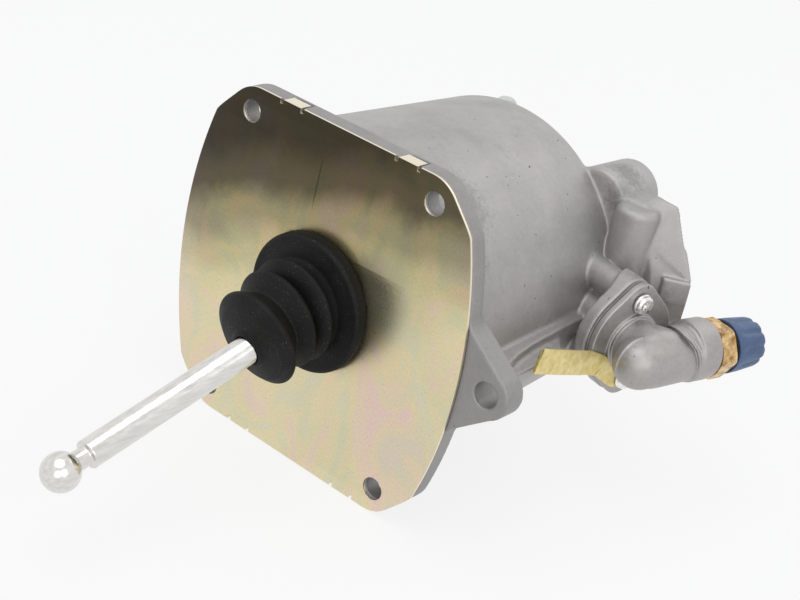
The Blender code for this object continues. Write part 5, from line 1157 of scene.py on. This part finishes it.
paint(make_casting(), casting_metal, "housing")
paint(make_plate(), sheet_metal, "cover_plate")
base, cup = make_boot()
paint(base, boot_rubber, "dust_boot", None)
paint(cup, boot_rubber, "dust_boot", None)
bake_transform(base)
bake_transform(cup)
paint(make_rod(), bright, "pushrod", "pushrod")
paint(make_elbow(), elbow_metal, "elbow")
paint(make_gasket(), fibre, "elbow_gasket")
paint(make_screw("screw_upper", 1, 0.3), screw_zinc, "elbow_screw_upper")
paint(make_screw("screw_lower", -1, 1.4), screw_zinc, "elbow_screw_lower")
paint(make_union(), turned_brass, "port_union")
paint(make_seal(), seal_rubber, "union_seal")
paint(make_cap(), blue, "port_cap")
paint(make_tag(), tag_metal(), "id_tag")

# The inner pieces and those on the rear keep their CAD shape, with worked materials
inner = {
    "black_rubber": seal_rubber,
    "machined_aluminium": cast_metal("turned_aluminium", (0.58, 0.58, 0.58), (0.74, 0.74, 0.73),
                                     0.28, 2.0, 0.95),
    "spring_steel": zinc("oiled_spring", (0.36, 0.36, 0.37), 0.34),
    "white_polymer": plastic("guide_polymer", (0.66, 0.64, 0.58), (0.80, 0.79, 0.74), 0.45),
    "ground_steel": zinc("ground_bar", (0.62, 0.62, 0.62), 0.18),
    "bright_zinc": screw_zinc,
    "brass": turned_brass,
    "pale_rubber": plastic("pale_cap", (0.58, 0.60, 0.58), (0.74, 0.76, 0.74), 0.55),
    "red_plastic": plastic("red_plug", (0.36, 0.03, 0.025), (0.52, 0.06, 0.045), 0.42),
}
for node, thing in frame["nodes"].items():
    if not thing.hide_render:
        thing.data.materials.clear()
        thing.data.materials.append(inner[slots[node]])


# Studio: pale floor and world, soft lamps, camera

def backdrop(tree, output, lit, white, camera_share):
    """Shows white to the camera by camera_share, and in metal and through glass wholly."""
    nodes, links = tree.nodes, tree.links
    path = nodes.new("ShaderNodeLightPath")
    share = nodes.new("ShaderNodeMath")
    share.operation = "MULTIPLY"
    share.inputs[1].default_value = camera_share
    links.new(path.outputs["Is Camera Ray"], share.inputs[0])
    seen = share.outputs["Value"]
    for ray in ("Is Glossy Ray", "Is Transmission Ray"):
        most = nodes.new("ShaderNodeMath")
        most.operation = "MAXIMUM"
        links.new(seen, most.inputs[0])
        links.new(path.outputs[ray], most.inputs[1])
        seen = most.outputs["Value"]
    mixer = nodes.new("ShaderNodeMixShader")
    for source, socket in ((seen, 0), (lit.outputs[0], 1), (white.outputs[0], 2)):
        links.new(source, mixer.inputs[socket])
    links.new(mixer.outputs["Shader"], output.inputs["Surface"])


def make_floor():
    surface = bpy.data.materials.new("studio_floor")
    surface.use_nodes = True
    nodes = surface.node_tree.nodes
    nodes.clear()
    lit = nodes.new("ShaderNodeBsdfDiffuse")
    lit.inputs["Color"].default_value = (0.86, 0.86, 0.86, 1)
    white = nodes.new("ShaderNodeEmission")
    white.inputs["Color"].default_value = (1, 1, 1, 1)
    backdrop(surface.node_tree, nodes.new("ShaderNodeOutputMaterial"), lit, white, 0.82)
    reach, height = 4.0, CAD_BOX[0].z - 0.0005
    sheet = bmesh.new()
    sheet.faces.new([sheet.verts.new((x * reach, y * reach, height))
                     for x, y in ((-1, -1), (1, -1), (1, 1), (-1, 1))])
    mesh = bpy.data.meshes.new("floor")
    sheet.to_mesh(mesh)
    sheet.free()
    floor = bpy.data.objects.new("floor", mesh)
    bpy.context.scene.collection.objects.link(floor)
    floor.data.materials.append(surface)


def make_world():
    world = bpy.data.worlds.new("studio")
    bpy.context.scene.world = world
    world.use_nodes = True
    nodes = world.node_tree.nodes
    nodes.clear()
    lit, white = (nodes.new("ShaderNodeBackground") for _ in range(2))
    lit.inputs["Color"].default_value = (0.96, 0.98, 1.0, 1)
    lit.inputs["Strength"].default_value = 0.62
    white.inputs["Color"].default_value = (1, 1, 1, 1)
    backdrop(world.node_tree, nodes.new("ShaderNodeOutputWorld"), lit, white, 1.0)


def soft_lamp(name, place, target, size, power):
    data = bpy.data.lights.new(name, "AREA")
    data.shape = "DISK"
    data.size = size
    data.energy = power
    lamp = bpy.data.objects.new(name, data)
    lamp.location = place
    lamp.rotation_mode = "QUATERNION"
    lamp.rotation_quaternion = (Vector(target) - Vector(place)).to_track_quat("-Z", "Y")
    bpy.context.scene.collection.objects.link(lamp)


def make_camera():
    right = (-0.635493, 0.748894, 0.187900)
    upward = (-0.233931, -0.418673, 0.877490)
    backward = (0.735816, 0.513683, 0.441253)
    place = (0.38945, 0.30823, 0.25122)
    data = bpy.data.cameras.new("photo_camera")
    data.lens = 72
    data.sensor_width = 36
    data.clip_start = 0.01
    data.clip_end = 20
    camera = bpy.data.objects.new("photo_camera", data)
    rows = [(right[k], upward[k], backward[k], place[k]) for k in range(3)]
    camera.matrix_world = Matrix(rows + [(0, 0, 0, 1)])
    bpy.context.scene.collection.objects.link(camera)
    bpy.context.scene.camera = camera


make_floor()
make_world()
soft_lamp("key", (0.40, 0.0, 1.3), (0, 0, 0), 1.2, 4.6)
soft_lamp("side", (0.55, 1.2, 0.7), (0, 0.03, 0), 1.0, 2.6)
soft_lamp("rear", (-1.2, 0.2, 0.8), (-0.05, 0, 0), 1.0, 1.4)
soft_lamp("front", (1.25, 0.75, 0.45), (-0.05, 0.03, 0), 1.0, 1.8)
make_camera()
bpy.context.scene.view_settings.view_transform = "Standard"
